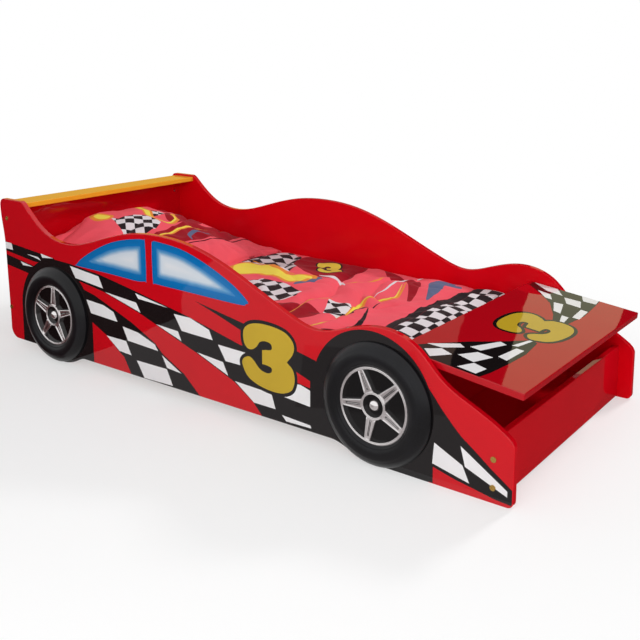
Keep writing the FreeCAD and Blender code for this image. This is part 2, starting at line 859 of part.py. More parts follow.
def slatted_base():
    """Rails on the side panels, slats across them and two straps that space the slats."""
    rail_x = headboard_x + size["board"] + size["rail_end_gap"]
    rail_length = partition_x - rail_x - size["rail_end_gap"]
    rail_z = rail_top_z - size["rail_height"]
    screw_pitch = (rail_length - 2 * size["rail_screw_margin"]) / (RAIL_SCREWS - 1)
    screw_z = rail_z + size["rail_height"] / 2
    face_y = inner_y - size["rail_width"]
    screw_length = size["rail_width"] + size["rail_screw_bite"]
    places, holes_by_side = [], {}
    for side_name, side in SIDES.items():
        way = "+Y" if side > 0 else "-Y"
        row = [
            ((rail_x + size["rail_screw_margin"] + screw_pitch * i, face_y * side, screw_z), way)
            for i in range(RAIL_SCREWS)
        ]
        places += row
        holes_by_side[side_name] = pin_group(
            f"rail_hole_{side_name}", row, size["rail_screw_r"] + size["dowel_play"],
            screw_length + size["dowel_play"],
        )
        y = face_y if side > 0 else -inner_y
        rail = box(
            f"rail_{side_name}", (rail_x, y, rail_z),
            (rail_length, size["rail_width"], size["rail_height"]),
        )
        holes = group(f"rail_holes_{side_name}", holes_by_side[side_name])
        kept(cut(f"slat_rail_{side_name}", rail, [holes]), f"slat_rail_{side_name}")
    made = screws(
        "rail_screw", places, size["rail_screw_r"], screw_length,
        size["rail_screw_head_r"], size["rail_screw_head_height"],
    )
    kept(group("rail_screws", made), "rail_screws")

    slat_x = rail_x + size["slat_margin"]
    run = rail_length - 2 * size["slat_margin"] - size["slat_width"]
    slat_half = inner_y - size["slat_end_gap"]
    for i in range(SLATS):
        corner = (slat_x + run * i / (SLATS - 1), -slat_half, rail_top_z)
        lengths = (size["slat_width"], 2 * slat_half, size["slat_thickness"])
        kept_box(f"slat_{i + 1:02d}", corner, lengths)
    for side_name, side in SIDES.items():
        middle_y = size["strap_y"] * side
        corner = (slat_x, middle_y - size["strap_width"] / 2, rail_top_z - size["strap_thickness"])
        lengths = (run + size["slat_width"], size["strap_width"], size["strap_thickness"])
        kept_box(f"slat_strap_{side_name}", corner, lengths)
    return holes_by_side


# ----------------------------------------------------------------------------------- lid and hinges


def leaf_screw_places(leaf, side):
    """Under the heads of a leaf's screws, about the hinge axis."""
    middle_y = size["hinge_y"] * side
    row = [
        middle_y + size["leaf_screw_pitch"] * (i - (LEAF_SCREWS - 1) / 2)
        for i in range(LEAF_SCREWS)
    ]
    depth = size["knuckle_r"] - size["leaf_thickness"]
    if leaf == "lid":
        return [((size["leaf_screw_inset"], y, depth), "+Z") for y in row]
    return [((-depth, y, -size["leaf_screw_inset"]), "-X") for y in row]


def leaf_solid(leaf, side, name):
    """One leaf of a hinge about its axis: plate, knuckles and the tabs that join them."""
    middle_y = size["hinge_y"] * side
    low_y = middle_y - size["hinge_length"] / 2
    radius, thin = size["knuckle_r"], size["leaf_thickness"]
    clear = radius + size["knuckle_gap"]
    pitch = size["hinge_length"] / KNUCKLES
    plate_length = size["leaf_width"] - clear
    if leaf == "lid":
        plate = box(name + "_plate", (clear, low_y, radius - thin),
                    (plate_length, size["hinge_length"], thin))
    else:
        plate = box(name + "_plate", (-radius, low_y, -size["leaf_width"]),
                    (thin, size["hinge_length"], plate_length))
    solids = [plate]
    for i in range(1 if leaf == "lid" else 0, KNUCKLES, 2):
        y = low_y + pitch * i + size["knuckle_gap"] / 2
        length = pitch - size["knuckle_gap"]
        solids.append(cylinder(f"{name}_knuckle_{i}", (Size(0), y, Size(0)), "+Y", radius, length))
        corner = (Size(0), y, radius - thin) if leaf == "lid" else (-radius, y, -clear)
        extent = (clear, length, thin) if leaf == "lid" else (thin, length, clear)
        solids.append(box(f"{name}_tab_{i}", corner, extent))
    return fuse(name, solids)


def hinges():
    """Two butt hinges between the partition and the lid; returns the screw holes of both boards."""
    play = size["hinge_pin_play"]
    holes = {"lid": [], "frame": []}
    screw_solids = {"lid": [], "frame": []}
    at_axis = {"x": hinge_x, "z": size["hinge_axis_z"]}
    tilt = (Vector(0, 1, 0), size["lid_rest_tilt"])
    for side_name, side in SIDES.items():
        middle_y = size["hinge_y"] * side
        low_y = middle_y - size["hinge_length"] / 2
        bore_y = low_y - size["hinge_pin_head_height"]
        bore_length = size["hinge_length"] + 2 * size["hinge_pin_head_height"]
        for leaf in ("frame", "lid"):
            name = f"hinge_{side_name}_{leaf}_leaf"
            bore = cylinder(
                name + "_bore", (Size(0), bore_y, Size(0)), "+Y",
                size["hinge_pin_r"] + play, bore_length,
            )
            places = leaf_screw_places(leaf, side)
            holes[leaf] += pin_group(
                name + "_hole", places, size["leaf_screw_r"] + play,
                size["leaf_screw_depth"] + play,
            )
            screw_solids[leaf] += screws(
                name + "_screw", places, size["leaf_screw_r"], size["leaf_screw_depth"],
                size["leaf_screw_head_r"], size["leaf_screw_head_height"],
            )
            tools = [bore, group(name + "_holes", holes[leaf][-LEAF_SCREWS:])]
            made = cut(name, leaf_solid(leaf, side, name + "_solid"), tools)
            kept(made, name, rotation=tilt if leaf == "lid" else None, **at_axis)
        name = f"hinge_{side_name}_pin"
        parts = [cylinder(
            name + "_shank", (Size(0), low_y, Size(0)), "+Y",
            size["hinge_pin_r"], size["hinge_length"],
        )]
        for end, base_y, way in (
            ("low", low_y, "-Y"), ("high", low_y + size["hinge_length"], "+Y"),
        ):
            parts.append(cylinder(
                f"{name}_{end}_head", (Size(0), base_y, Size(0)), way,
                size["hinge_pin_head_r"], size["hinge_pin_head_height"],
            ))
        kept(fuse(name, parts), name, **at_axis)
    kept(group("frame_hinge_screws", screw_solids["frame"]), "frame_hinge_screws", **at_axis)
    kept(group("lid_hinge_screws", screw_solids["lid"]), "lid_hinge_screws",
         rotation=tilt, **at_axis)
    return holes


def hood_lid(holes):
    """The bonnet: one board, hinged at its rear edge, drawn in the frame of its hinge axis."""
    half = inner_y - size["lid_side_gap"]
    rear = -size["lid_rear_overhang"]
    body = new_body("hood_lid_board")
    sketch = sketch_on(body, "XY_Plane", "hood_lid_outline", size["knuckle_r"])
    rectangle(sketch, (rear, -half), (lid_reach, half))
    padded = pad(body, sketch, size["board"])
    corners = round_edges(
        body, padded, size["lid_front_round"],
        lambda e: runs_along(e, Vector(0, 0, 1)) and e.CenterOfMass.x > 0,
    )
    round_edges(
        body, corners, size["edge_round"],
        lambda e: abs(e.CenterOfMass.z - lid_top.value) < 0.01
        or (e.CenterOfMass.z < size["knuckle_r"].value + 0.01 and e.CenterOfMass.x > 1),
    )
    made = cut("hood_lid", body, [group("hood_lid_holes", holes)])
    kept(made, "hood_lid", x=hinge_x, z=size["hinge_axis_z"],
         rotation=(Vector(0, 1, 0), size["lid_rest_tilt"]))


# ----------------------------------------------------------------------------------------- wheels


def tyre(name, screw_holes):
    """Black cover: a bulging tyre round a flat dish, drawn about its own Z axis."""
    body = new_body(name + "_body")
    sketch = sketch_on(body, "XZ_Plane", name + "_section")
    outline(sketch, (Size(0), Size(0)), [
        ("line", (size["tyre_r"], Size(0))),
        ("line", (size["tyre_r"], size["tyre_shoulder"])),
        ("arc", (size["tyre_crest_r"], size["tyre_bulge"]), (size["rim_r"], size["tyre_lip"])),
        ("line", (size["rim_r"], size["dish_thickness"])),
        ("line", (Size(0), size["dish_thickness"])),
        ("line", (Size(0), Size(0))),
    ])
    revolve(body, sketch)
    return cut(name, body, [group(name + "_holes", screw_holes)])


def rim(name, phase):
    """Bright star: a ring, tapered spokes with a long groove in each, and a ring at the hub."""
    ring_r = size["rim_r"] - size["rim_play"]
    ring_inner = ring_r - size["rim_ring_width"]
    low, high = size["dish_thickness"], size["rim_height"]
    spoke_z = low + size["spoke_thickness"]
    body = new_body(name)
    ring = sketch_on(body, "XZ_Plane", name + "_ring")
    rectangle(ring, (ring_inner, low), (ring_r, high))
    revolve(body, ring)

    spoke = sketch_on(body, "XY_Plane", name + "_spoke", low)
    hub_x = (size["hub_outer_r"] + size["hub_inner_r"]) / 2
    tip_x = ring_r - size["rim_ring_width"] / 2
    wide, narrow = size["spoke_hub_width"] / 2, size["spoke_ring_width"] / 2
    outline(spoke, (hub_x, -wide), [
        ("line", (tip_x, -narrow)),
        ("line", (tip_x, narrow)),
        ("line", (hub_x, wide)),
        ("line", (hub_x, -wide)),
    ])
    polar(body, [pad(body, spoke, size["spoke_thickness"])], SPOKES)

    hub = sketch_on(body, "XZ_Plane", name + "_hub")
    rectangle(hub, (size["hub_inner_r"], low), (size["hub_outer_r"], high))
    revolve(body, hub)

    groove = sketch_on(body, "XY_Plane", name + "_groove", spoke_z)
    half = size["spoke_slot_width"] / 2
    rectangle(
        groove,
        (size["hub_outer_r"] + size["spoke_slot_margin"] / 2, -half),
        (ring_inner - size["spoke_slot_margin"], half),
    )
    polar(body, [pocket(body, groove, size["spoke_slot_depth"])], SPOKES)
    # the star is turned in its body, so that a wheel's place needs no second turn
    turned = group(name + "_turned", [body])
    return place(turned, rotation=(Vector(0, 0, 1), phase))


def hub_cap(name):
    """Plain bright dome in the middle of the dish."""
    low = size["dish_thickness"]
    flange_z = low + size["cap_flange_height"]
    body = new_body(name)
    sketch = sketch_on(body, "XZ_Plane", name + "_section")
    top_z = low + size["cap_height"]
    dome_r, dome = size["cap_r"] - size["cap_flat_r"], top_z - flange_z
    outline(sketch, (Size(0), low), [
        ("line", (size["cap_r"], low)),
        ("line", (size["cap_r"], flange_z)),
        ("arc", (size["cap_flat_r"] + dome_r * CAP_BULGE[0], flange_z + dome * CAP_BULGE[1]),
         (size["cap_flat_r"], top_z)),
        ("line", (Size(0), top_z)),
        ("line", (Size(0), low)),
    ])
    revolve(body, sketch)
    return body


def wheels():
    """Four wheel covers on the side panels, screwed on from inside; returns the panels' holes."""
    screw_solids, holes_by_side = [], {"right": [], "left": []}
    circle = size["wheel_screw_circle_r"] * math.sqrt(0.5)
    shank = size["board"] + size["wheel_screw_bite"]
    for end, x in (("front", front_wheel_x), ("rear", size["rear_wheel_x"])):
        for side_name, side in SIDES.items():
            name = f"wheel_{end}_{side_name}"
            upright = (Vector(1, 0, 0), -90 * side)
            way = "+Y" if side > 0 else "-Y"
            places, blind = [], []
            for i in range(WHEEL_SCREWS):
                dx = circle * (1 if i % 2 else -1)
                dz = circle * (1 if i // 2 else -1)
                places.append(((x + dx, inner_y * side, wheel_z + dz), way))
                blind.append(((dx, dz, Size(0)), "+Z"))
            screw_solids += screws(
                name + "_screw", places, size["wheel_screw_r"], shank,
                size["wheel_screw_head_r"], size["wheel_screw_head_height"],
            )
            play = size["dowel_play"]
            holes_by_side[side_name] += pin_group(
                name + "_panel_hole", places, size["wheel_screw_r"] + play, shank
            )
            tyre_holes = pin_group(
                name + "_tyre_hole", blind, size["wheel_screw_r"] + play,
                size["wheel_screw_bite"] + play,
            )
            at_wheel = {"x": x, "y": outer_y * side, "z": wheel_z, "rotation": upright}
            kept(tyre(name + "_tyre", tyre_holes), name + "_tyre", **at_wheel)
            star = rim(name + "_star", SPOKE_PHASES[end] * -side)
            kept(group(name + "_rim", [star]), name + "_rim", **at_wheel)
            kept(hub_cap(name + "_cap"), name + "_cap", **at_wheel)
    kept(group("wheel_screws", screw_solids), "wheel_screws")
    return holes_by_side


# ---------------------------------------------------------------------------------------- bedding


def section(name, x, z, half_width, foot, bottom, edge, crown):
    """A closed section across the bed: flat underside, curved flanks and an arched top."""
    sketch = doc.addObject("Sketcher::SketchObject", name)
    sketch.Placement = Placement(Vector(), Rotation(Vector(1, 1, 1), 120))
    bind(sketch, Placement__Base__x=x, Placement__Base__z=z)
    flank_y = half_width - (half_width - foot) * FLANK_INSET_SHARE
    flank_z = (bottom + edge) / 2
    outline(sketch, (-foot, bottom), [
        ("line", (foot, bottom)),
        ("arc", (flank_y, flank_z), (half_width, edge)),
        ("arc", (Size(0), crown), (-half_width, edge)),
        ("arc", (-flank_y, flank_z), (-foot, bottom)),
    ])
    return sketch


def loft(name, sections):
    made = doc.addObject("Part::Loft", name)
    made.Sections = sections
    made.Solid = True
    return made


def pillow():
    """Stuffed pillow that leans on the headboard: crowned, its sides drawn in between corners."""
    base_z = mattress_top_z + size["soft_gap"]
    sections = []
    for number, (share, width, *heights) in enumerate(PILLOW_STATIONS):
        half = (size["mattress_width"] / 2 - size["pillow_side_inset"]) * width
        sections.append(section(
            f"pillow_section_{number}", pillow_x + size["pillow_length"] * share, base_z,
            half, half - size["pillow_foot_inset"],
            *(size["pillow_loft"] * height for height in heights),
        ))
    kept(loft("pillow_form", sections), "pillow")


def duvet():
    """Quilt over the mattress, thick at its middle, with slow folds across the bed."""
    start = pillow_x + size["pillow_length"] * (1 - DUVET_TUCK_SHARE)
    length = mattress_x + size["mattress_length"] - start
    half = size["mattress_width"] / 2 + size["duvet_side_overhang"]
    base_z = mattress_top_z + size["soft_gap"]
    sections = []
    for number, (share, crown, edge) in enumerate(DUVET_STATIONS):
        sections.append(section(
            f"duvet_section_{number}", start + length * share, base_z,
            half, half - size["duvet_foot_inset"], Size(0),
            size["duvet_loft"] * edge, size["duvet_loft"] * crown,
        ))
    kept(loft("duvet_form", sections), "duvet")


def mattress():
    """Foam mattress: rounded corners, a drawn-in waist and edges tucked in above and below."""
    tall, tuck, tuck_z = size["mattress_height"], size["mattress_tuck"], size["mattress_tuck_height"]
    levels = [
        (Size(0), tuck), (tuck_z, Size(0)), (tall / 2, tuck * MATTRESS_WAIST_SHARE), (tall - tuck_z, Size(0)),
        (tall, tuck),
    ]
    sections = []
    for number, (z, inset) in enumerate(levels):
        sketch = doc.addObject("Sketcher::SketchObject", f"mattress_level_{number}")
        bind(sketch, Placement__Base__z=mattress_z + z)
        rounded_rectangle(
            sketch, mattress_x + inset, mattress_x + size["mattress_length"] - inset,
            size["mattress_width"] / 2 - inset, size["mattress_corner"],
        )
        sections.append(sketch)
    kept(loft("mattress_form", sections), "mattress")


def rounded_rectangle(sketch, low_x, high_x, half_y, corner):
    share = corner * (1 - math.sqrt(0.5))
    outline(sketch, (low_x + corner, -half_y), [
        ("line", (high_x - corner, -half_y)),
        ("arc", (high_x - share, -half_y + share), (high_x, -half_y + corner)),
        ("line", (high_x, half_y - corner)),
        ("arc", (high_x - share, half_y - share), (high_x - corner, half_y)),
        ("line", (low_x + corner, half_y)),
        ("arc", (low_x + share, half_y - share), (low_x, half_y - corner)),
        ("line", (low_x, -half_y + corner)),
        ("arc", (low_x + share, -half_y + share), (low_x + corner, -half_y)),
    ])


# --------------------------------------------------------------------------------------- assembly

bolt_holes = connector_bolts()
screw_holes = partition_screws()
dowel_holes = dowels()
rail_holes = slatted_base()
wheel_holes = wheels()
hinge_holes = hinges()
frame_leaf_holes = place(
    group("frame_leaf_holes", hinge_holes["frame"]), x=hinge_x, z=size["hinge_axis_z"]
)
joint_holes = bolt_holes + screw_holes + dowel_holes
for panel_side in SIDES:
    side_panel(panel_side, joint_holes + rail_holes[panel_side] + wheel_holes[panel_side])
boards(joint_holes + [frame_leaf_holes])
cleats()
hood_lid(hinge_holes["lid"])
mattress()
pillow()
duvet()

doc.recompute()
for item in doc.Objects:
    if "Invalid" in item.State or "Error" in item.State:
        raise RuntimeError(f"{item.Label} did not build: {item.State}")
os.makedirs("parts", exist_ok=True)
for piece in pieces:
    if piece.Shape.isNull() or not piece.Shape.isValid():
        raise RuntimeError(f"{piece.Label} has no valid shape")
for piece in pieces:
    piece.Shape.exportStep(f"parts/{piece.Label}.step")
print(f"{len(pieces)} pieces")
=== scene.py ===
import json
import math
from fnmatch import fnmatch

import bmesh
import bpy
import numpy as np
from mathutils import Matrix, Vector
from mathutils.bvhtree import BVHTree
from mathutils.geometry import delaunay_2d_cdt


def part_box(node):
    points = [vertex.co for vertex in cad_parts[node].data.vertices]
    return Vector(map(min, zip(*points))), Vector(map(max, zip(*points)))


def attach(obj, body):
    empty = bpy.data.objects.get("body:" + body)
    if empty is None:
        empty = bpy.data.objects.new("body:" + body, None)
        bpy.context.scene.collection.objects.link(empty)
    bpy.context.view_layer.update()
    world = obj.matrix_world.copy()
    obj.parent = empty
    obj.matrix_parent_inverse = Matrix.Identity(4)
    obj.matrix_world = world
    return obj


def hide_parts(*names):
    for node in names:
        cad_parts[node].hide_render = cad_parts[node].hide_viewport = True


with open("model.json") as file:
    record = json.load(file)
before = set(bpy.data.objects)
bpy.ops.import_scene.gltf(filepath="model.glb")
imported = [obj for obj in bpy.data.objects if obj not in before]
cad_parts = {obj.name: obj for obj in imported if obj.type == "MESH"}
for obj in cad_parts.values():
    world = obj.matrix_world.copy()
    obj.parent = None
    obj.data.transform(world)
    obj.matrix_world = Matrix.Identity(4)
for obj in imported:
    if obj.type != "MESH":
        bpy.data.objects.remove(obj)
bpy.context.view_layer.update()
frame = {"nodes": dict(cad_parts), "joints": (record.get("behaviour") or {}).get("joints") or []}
nodes = frame["nodes"]

# Bed coordinates, in mm: x from the rearmost point of the tail, y from the middle, z from the floor.
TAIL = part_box("side_panel_right")[0].x
PANEL_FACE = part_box("side_panel_left")[1].y
MATTRESS_LOW, MATTRESS_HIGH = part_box("mattress")
PILLOW_LOW, PILLOW_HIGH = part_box("pillow")
DUVET_LOW, DUVET_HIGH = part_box("duvet")
PRINT_PROUD = 0.00015  # metres that a print stands over its board


def bed(x, y, z):
    """Bed coordinates in mm to the row frame in metres."""
    return Vector((TAIL + x / 1000, y / 1000, z / 1000))


def add_object(name, data):
    """A new object in the scene that shows data."""
    made = bpy.data.objects.new(name, data)
    bpy.context.scene.collection.objects.link(made)
    return made


# -------------------- materials


def rgb(red, green, blue):
    """sRGB from 0 to 255 as a linear colour."""
    return tuple(
        c / 12.92 if c <= 0.04045 else ((c + 0.055) / 1.055) ** 2.4
        for c in (red / 255, green / 255, blue / 255)
    ) + (1.0,)


class Shader:
    """A material, or the world, under construction."""

    def __init__(self, name, kind="materials"):
        self.owner = getattr(bpy.data, kind).new(name)
        self.owner.use_nodes = True
        self.tree = self.owner.node_tree
        self.tree.nodes.clear()
        self.object_co = self.add("TexCoord").outputs["Object"]

    def add(self, kind, inputs=None, **settings):
        """A node whose inputs are values or other nodes' sockets."""
        made = self.tree.nodes.new("ShaderNode" + kind)
        for name, value in settings.items():
            setattr(made, name, value)
        for name, value in (inputs or {}).items():
            if isinstance(value, bpy.types.NodeSocket):
                self.tree.links.new(value, made.inputs[name])
            else:
                made.inputs[name].default_value = value
        return made

    def math(self, operation, *values):
        return self.add("Math", dict(enumerate(values)), operation=operation).outputs[0]

    def vector(self, operation, *values):
        return self.add("VectorMath", dict(enumerate(values)), operation=operation).outputs

    def split(self, vector):
        return self.add("SeparateXYZ", {"Vector": vector}).outputs

    def scaled(self, vector, scale):
        return self.add("Mapping", {"Vector": vector, "Scale": scale}).outputs[0]

    def noise(self, scale, detail=2.0, vector=None, stretch=None, distortion=0.0):
        """Noise from 0 to 1. Scale is in features per metre."""
        vector = vector or self.object_co
        if stretch:
            vector = self.scaled(vector, stretch)
        return self.add("TexNoise", {
            "Vector": vector, "Scale": scale, "Detail": detail, "Distortion": distortion,
        }).outputs["Fac"]

    def spread(self, value, low, high, to_low=0.0, to_high=1.0):
        return self.add("MapRange", {
            "Value": value, "From Min": low, "From Max": high, "To Min": to_low, "To Max": to_high,
        }).outputs[0]

    def mix(self, factor, first, second, data_type="RGBA"):
        made = self.add("Mix", {"Factor": factor, "A": first, "B": second}, data_type=data_type)
        return made.outputs["Result"]

    def tint(self, colour, factor, low=0.85, high=1.12):
        """colour made darker or lighter as factor goes from 0 to 1."""
        dark = tuple(c * low for c in colour[:3]) + (1.0,)
        light = tuple(min(1.0, c * high) for c in colour[:3]) + (1.0,)
        return self.mix(factor, dark, light)

    def bump(self, height, distance, strength=1.0):
        inputs = {"Height": height, "Distance": distance, "Strength": strength}
        return self.add("Bump", inputs).outputs[0]

    def attribute(self, name, output="Fac"):
        return self.add("Attribute", attribute_name=name).outputs[output]

    def seen(self):
        """1 for the camera's rays, also by way of gloss or glass, and 0 for light on a surface."""
        path = self.add("LightPath").outputs
        bent = self.math("MAXIMUM", path["Is Glossy Ray"], path["Is Transmission Ray"])
        return self.math("MAXIMUM", path["Is Camera Ray"], bent)

    def surface(self, **inputs):
        """Finishes the material; underscores in a name stand for spaces."""
        shader = self.add("BsdfPrincipled", {k.replace("_", " "): v for k, v in inputs.items()})
        self.add("OutputMaterial", {"Surface": shader.outputs[0]})
        return self.owner

    def coated(self, tone, roughness, height, coat=1.0, coat_roughness=0.03):
        """Finishes a material under a clear coat, which height makes uneven."""
        return self.surface(
            Base_Color=tone, Roughness=roughness, Specular_IOR_Level=0.0, Coat_Weight=coat,
            Coat_Roughness=coat_roughness, Coat_IOR=1.45,
            Coat_Normal=self.bump(height, 0.0016, 0.3),
        )


def lacquer(name, colour, roughness=0.3, coat_roughness=0.03, coat=1.0, black_mask=None):
    """Sprayed lacquer on board: a clear coat with slight orange peel over an even colour."""
    s = Shader(name)
    tone = s.tint(colour, s.noise(9.0, 3.0), 0.94, 1.05)
    if black_mask:
        tone = s.mix(black_mask(s), tone, BLACK_INK)
    grain = s.spread(s.noise(40.0, 4.0), 0.3, 0.7, roughness - 0.04, roughness + 0.06)
    height = s.math("ADD", s.math("MULTIPLY", s.noise(120.0, 0.0), 0.02), s.noise(11.0, 0.0))
    return s.coated(tone, grain, height, coat, coat_roughness)


ARCH_SPANS = ((93, 437), (1250, 1574), (1090, 1252), (600, 874))  # mm, black at the lower edge
ARCH_WRAP = 0.008  # metres that this black goes inwards round the edge
ARCH_HEIGHT = 0.06  # metres from the floor up to which it is carried round
FLAT_FACE = 0.9995  # a panel's face is flat, not edge, from this y of its normal on


def arch_mask(s):
    """1 where the arches' black is carried round a side panel's lower edge."""
    spot, facing = s.split(s.object_co), s.split(s.add("NewGeometry").outputs["True Normal"])
    outer = s.math("GREATER_THAN", s.math("ABSOLUTE", spot["Y"]), PANEL_FACE - ARCH_WRAP)
    edge = s.math("LESS_THAN", s.math("ABSOLUTE", facing["Y"]), FLAT_FACE)
    low = s.math("MULTIPLY", edge, s.math("LESS_THAN", spot["Z"], ARCH_HEIGHT))
    black = 0.0
    for start, end in ARCH_SPANS:
        middle, half = TAIL + (start + end) / 2000, (end - start) / 2000
        reach = s.math("ABSOLUTE", s.math("SUBTRACT", spot["X"], middle))
        black = s.math("MAXIMUM", black, s.math("LESS_THAN", reach, half))
    return s.math("MULTIPLY", black, s.math("MULTIPLY", outer, low))


WINDOW_FADE = 60.0  # mm from a window's edge to its palest tone
WINDOW_STOPS = (
    (0.0, (0, 104, 172)), (0.30, (6, 112, 180)), (0.44, (96, 156, 200)),
    (0.62, (208, 218, 228)), (1.0, (228, 230, 234)),
)


def window_print():
    """Sprayed window: a blue rim that fades to pale grey towards the middle."""
    s = Shader("window_print")
    depth = s.math("ADD", s.attribute("depth"), s.spread(s.noise(30.0), 0, 1, -1.5, 1.5))
    fade = s.add("ValToRGB", {"Fac": s.spread(depth, 0.0, WINDOW_FADE)})
    ramp = fade.color_ramp
    while len(ramp.elements) < len(WINDOW_STOPS):
        ramp.elements.new(0.5)
    for element, (place, colour) in zip(ramp.elements, WINDOW_STOPS):
        element.position = place
        element.color = rgb(*colour)
    return s.coated(fade.outputs["Color"], 0.3, s.noise(11.0, 0.0))


DISH_RADIUS = 0.0915  # metres, as are the next two
TYRE_CREST = (0.1235, 0.1285)  # where the tread's edge rises
TYRE_BEAD, BEAD_HALF = 0.098, 0.002  # a fine ridge round the rim


def tyre_plastic(centre):
    """Satin black moulding with a finer, glossy dish inside the rim."""
    s = Shader("tyre_plastic")
    flat = s.vector("MULTIPLY", s.vector("SUBTRACT", s.object_co, centre)[0], (1.0, 0.0, 1.0))[0]
    radius = s.vector("LENGTH", flat)["Value"]
    dish = s.math("LESS_THAN", radius, DISH_RADIUS)
    grain = s.noise(900.0, 3.0)
    crest = s.spread(radius, *TYRE_CREST, 1.0, 0.0)
    bead = s.math("ABSOLUTE", s.math("SUBTRACT", radius, TYRE_BEAD))
    bead = s.spread(bead, 0.0, BEAD_HALF, 1.0, 0.0)
    height = s.math("ADD", s.math("MULTIPLY", grain, 0.03), s.math("ADD", crest, bead))
    dust = s.spread(s.noise(14.0, 4.0), 0.45, 0.8)
    colour = s.mix(dust, rgb(9, 9, 12), rgb(18, 18, 23))
    return s.surface(
        Base_Color=s.mix(dish, colour, rgb(8, 7, 8)),
        Roughness=s.mix(dish, s.spread(grain, 0.3, 0.7, 0.26, 0.38), 0.1, "FLOAT"),
        Normal=s.bump(height, 0.0014, s.mix(dish, 0.5, 0.0, "FLOAT")),
        Specular_IOR_Level=0.3,
    )


def metal(name, colour, roughness, scratch=0.04, bump=0.00002):
    """Metal with fine scratches, slightly uneven."""
    s = Shader(name)
    fine = s.noise(700.0, 3.0, stretch=(1.0, 1.0, 0.15))
    return s.surface(
        Base_Color=s.tint(colour, s.noise(30.0, 3.0), 0.88, 1.05), Metallic=1.0,
        Roughness=s.spread(fine, 0.3, 0.7, max(0.02, roughness - scratch), roughness + scratch),
        Normal=s.bump(s.noise(120.0), bump, 0.4),
    )


def pine_wood():
    """Planed pine that runs across the bed: rings, late wood lines and fibres."""
    s = Shader("pine_wood")
    run = s.scaled(s.object_co, (14.0, 0.9, 14.0))
    bend = s.noise(1.6, 3.0, vector=run)
    rings = s.add("TexWave", {
        "Vector": s.vector("MULTIPLY", run, (1.0, 0.3, 1.0))[0], "Scale": 1.3, "Distortion": 6.0,
        "Detail": 3.0, "Detail Scale": 1.2,
    }, wave_type="RINGS").outputs["Fac"]
    fibre = s.noise(700.0, 3.0, stretch=(1.0, 0.03, 1.0))
    tone = s.mix(s.math("MULTIPLY", rings, 0.75), rgb(226, 190, 140), rgb(188, 134, 80))
    tone = s.mix(s.spread(bend, 0.35, 0.75, 0.0, 0.35), tone, rgb(238, 208, 164))
    tone = s.mix(s.spread(fibre, 0.4, 0.8, 0.0, 0.3), tone, rgb(170, 120, 72))
    return s.surface(
        Base_Color=tone, Roughness=s.spread(fibre, 0.2, 0.8, 0.55, 0.75),
        Normal=s.bump(s.math("ADD", fibre, s.math("MULTIPLY", rings, 0.6)), 0.0002, 0.5),
    )


def weave_height(s, pitch):
    """Plain weave: over and under threads, pitch metres apart, along x and y."""
    spot = s.split(s.object_co)
    jitter = s.math("MULTIPLY", s.noise(160.0), 1.2)
    warp, weft = (
        s.math("SINE", s.math("ADD", s.math("MULTIPLY", spot[axis], math.pi / pitch), jitter))
        for axis in "XY"
    )
    return s.math("MULTIPLY", warp, weft)


def cotton(name, colour, inks=(), checks=(), pitch=0.0009, sheen=0.06):
    """Printed cotton.

    Each ink is (attribute, colour), the attribute being the signed distance in mm to its edge, and
    each set of checks is (attribute, cell in mm, turn in degrees), over the flat coordinates.
    """
    s = Shader(name)
    cloud = s.noise(7.0, 4.0)
    tone = s.tint(colour, cloud, 0.92, 1.06)
    for attribute, cell, turn in checks:
        grid = s.add("Mapping", {
            "Vector": s.attribute("flat", "Vector"), "Scale": (1 / cell, 1 / cell, 1),
            "Location": (0.0, 0.0, 0.5), "Rotation": (0.0, 0.0, math.radians(turn)),
        }).outputs[0]
        board = s.add("TexChecker", {
            "Vector": grid, "Color1": BLACK_DYE, "Color2": PALE, "Scale": 1.0,
        }).outputs["Color"]
        tone = s.mix(s.spread(s.attribute(attribute), -0.5, 0.5), tone, board)
    for attribute, ink in inks:
        inside = s.spread(s.attribute(attribute), -0.5, 0.5)
        tone = s.mix(inside, tone, s.tint(ink, cloud, 0.9, 1.08))
    weave = weave_height(s, pitch)
    tone = s.mix(s.spread(weave, -1.0, 1.0, 0.0, 0.08), tone, rgb(70, 20, 28))
    creases = s.noise(38.0, 4.0, distortion=0.6)
    height = s.math("ADD", s.math("MULTIPLY", weave, 0.03), creases)
    return s.surface(
        Base_Color=tone, Roughness=s.spread(cloud, 0.3, 0.7, 0.8, 0.92),
        Normal=s.bump(height, 0.0022, 0.4),
        Sheen_Weight=sheen, Sheen_Roughness=0.4, Sheen_Tint=(1.0, 0.7, 0.7, 1.0),
        Specular_IOR_Level=0.15,
    )


def webbing_cloth():
    """Woven strap of unbleached yarn, darker in the weave's hollows as painted shade."""
    s = Shader("webbing")
    weave = weave_height(s, 0.0022)
    # Darker where the weave is low and lighter where it is high: painted shade between the threads.
    tone = s.mix(s.spread(weave, -1.0, 1.0), rgb(196, 192, 180), rgb(224, 221, 210))
    return s.surface(Base_Color=tone, Roughness=0.85, Normal=s.bump(weave, 0.0004, 0.8))


RED = rgb(204, 4, 22)
WHITE_INK = rgb(238, 236, 237)
BLACK_INK = rgb(20, 16, 17)
GOLD_INK = rgb(196, 163, 40)
CORAL = rgb(250, 92, 106)
DEEP_RED = rgb(160, 16, 34)
YELLOW = rgb(252, 226, 84)
ORANGE = rgb(240, 146, 60)
SLATE = rgb(96, 106, 138)
PALE = rgb(232, 224, 228)
BLACK_DYE = rgb(34, 28, 32)

red_lacquer = lacquer("red_lacquer", RED)
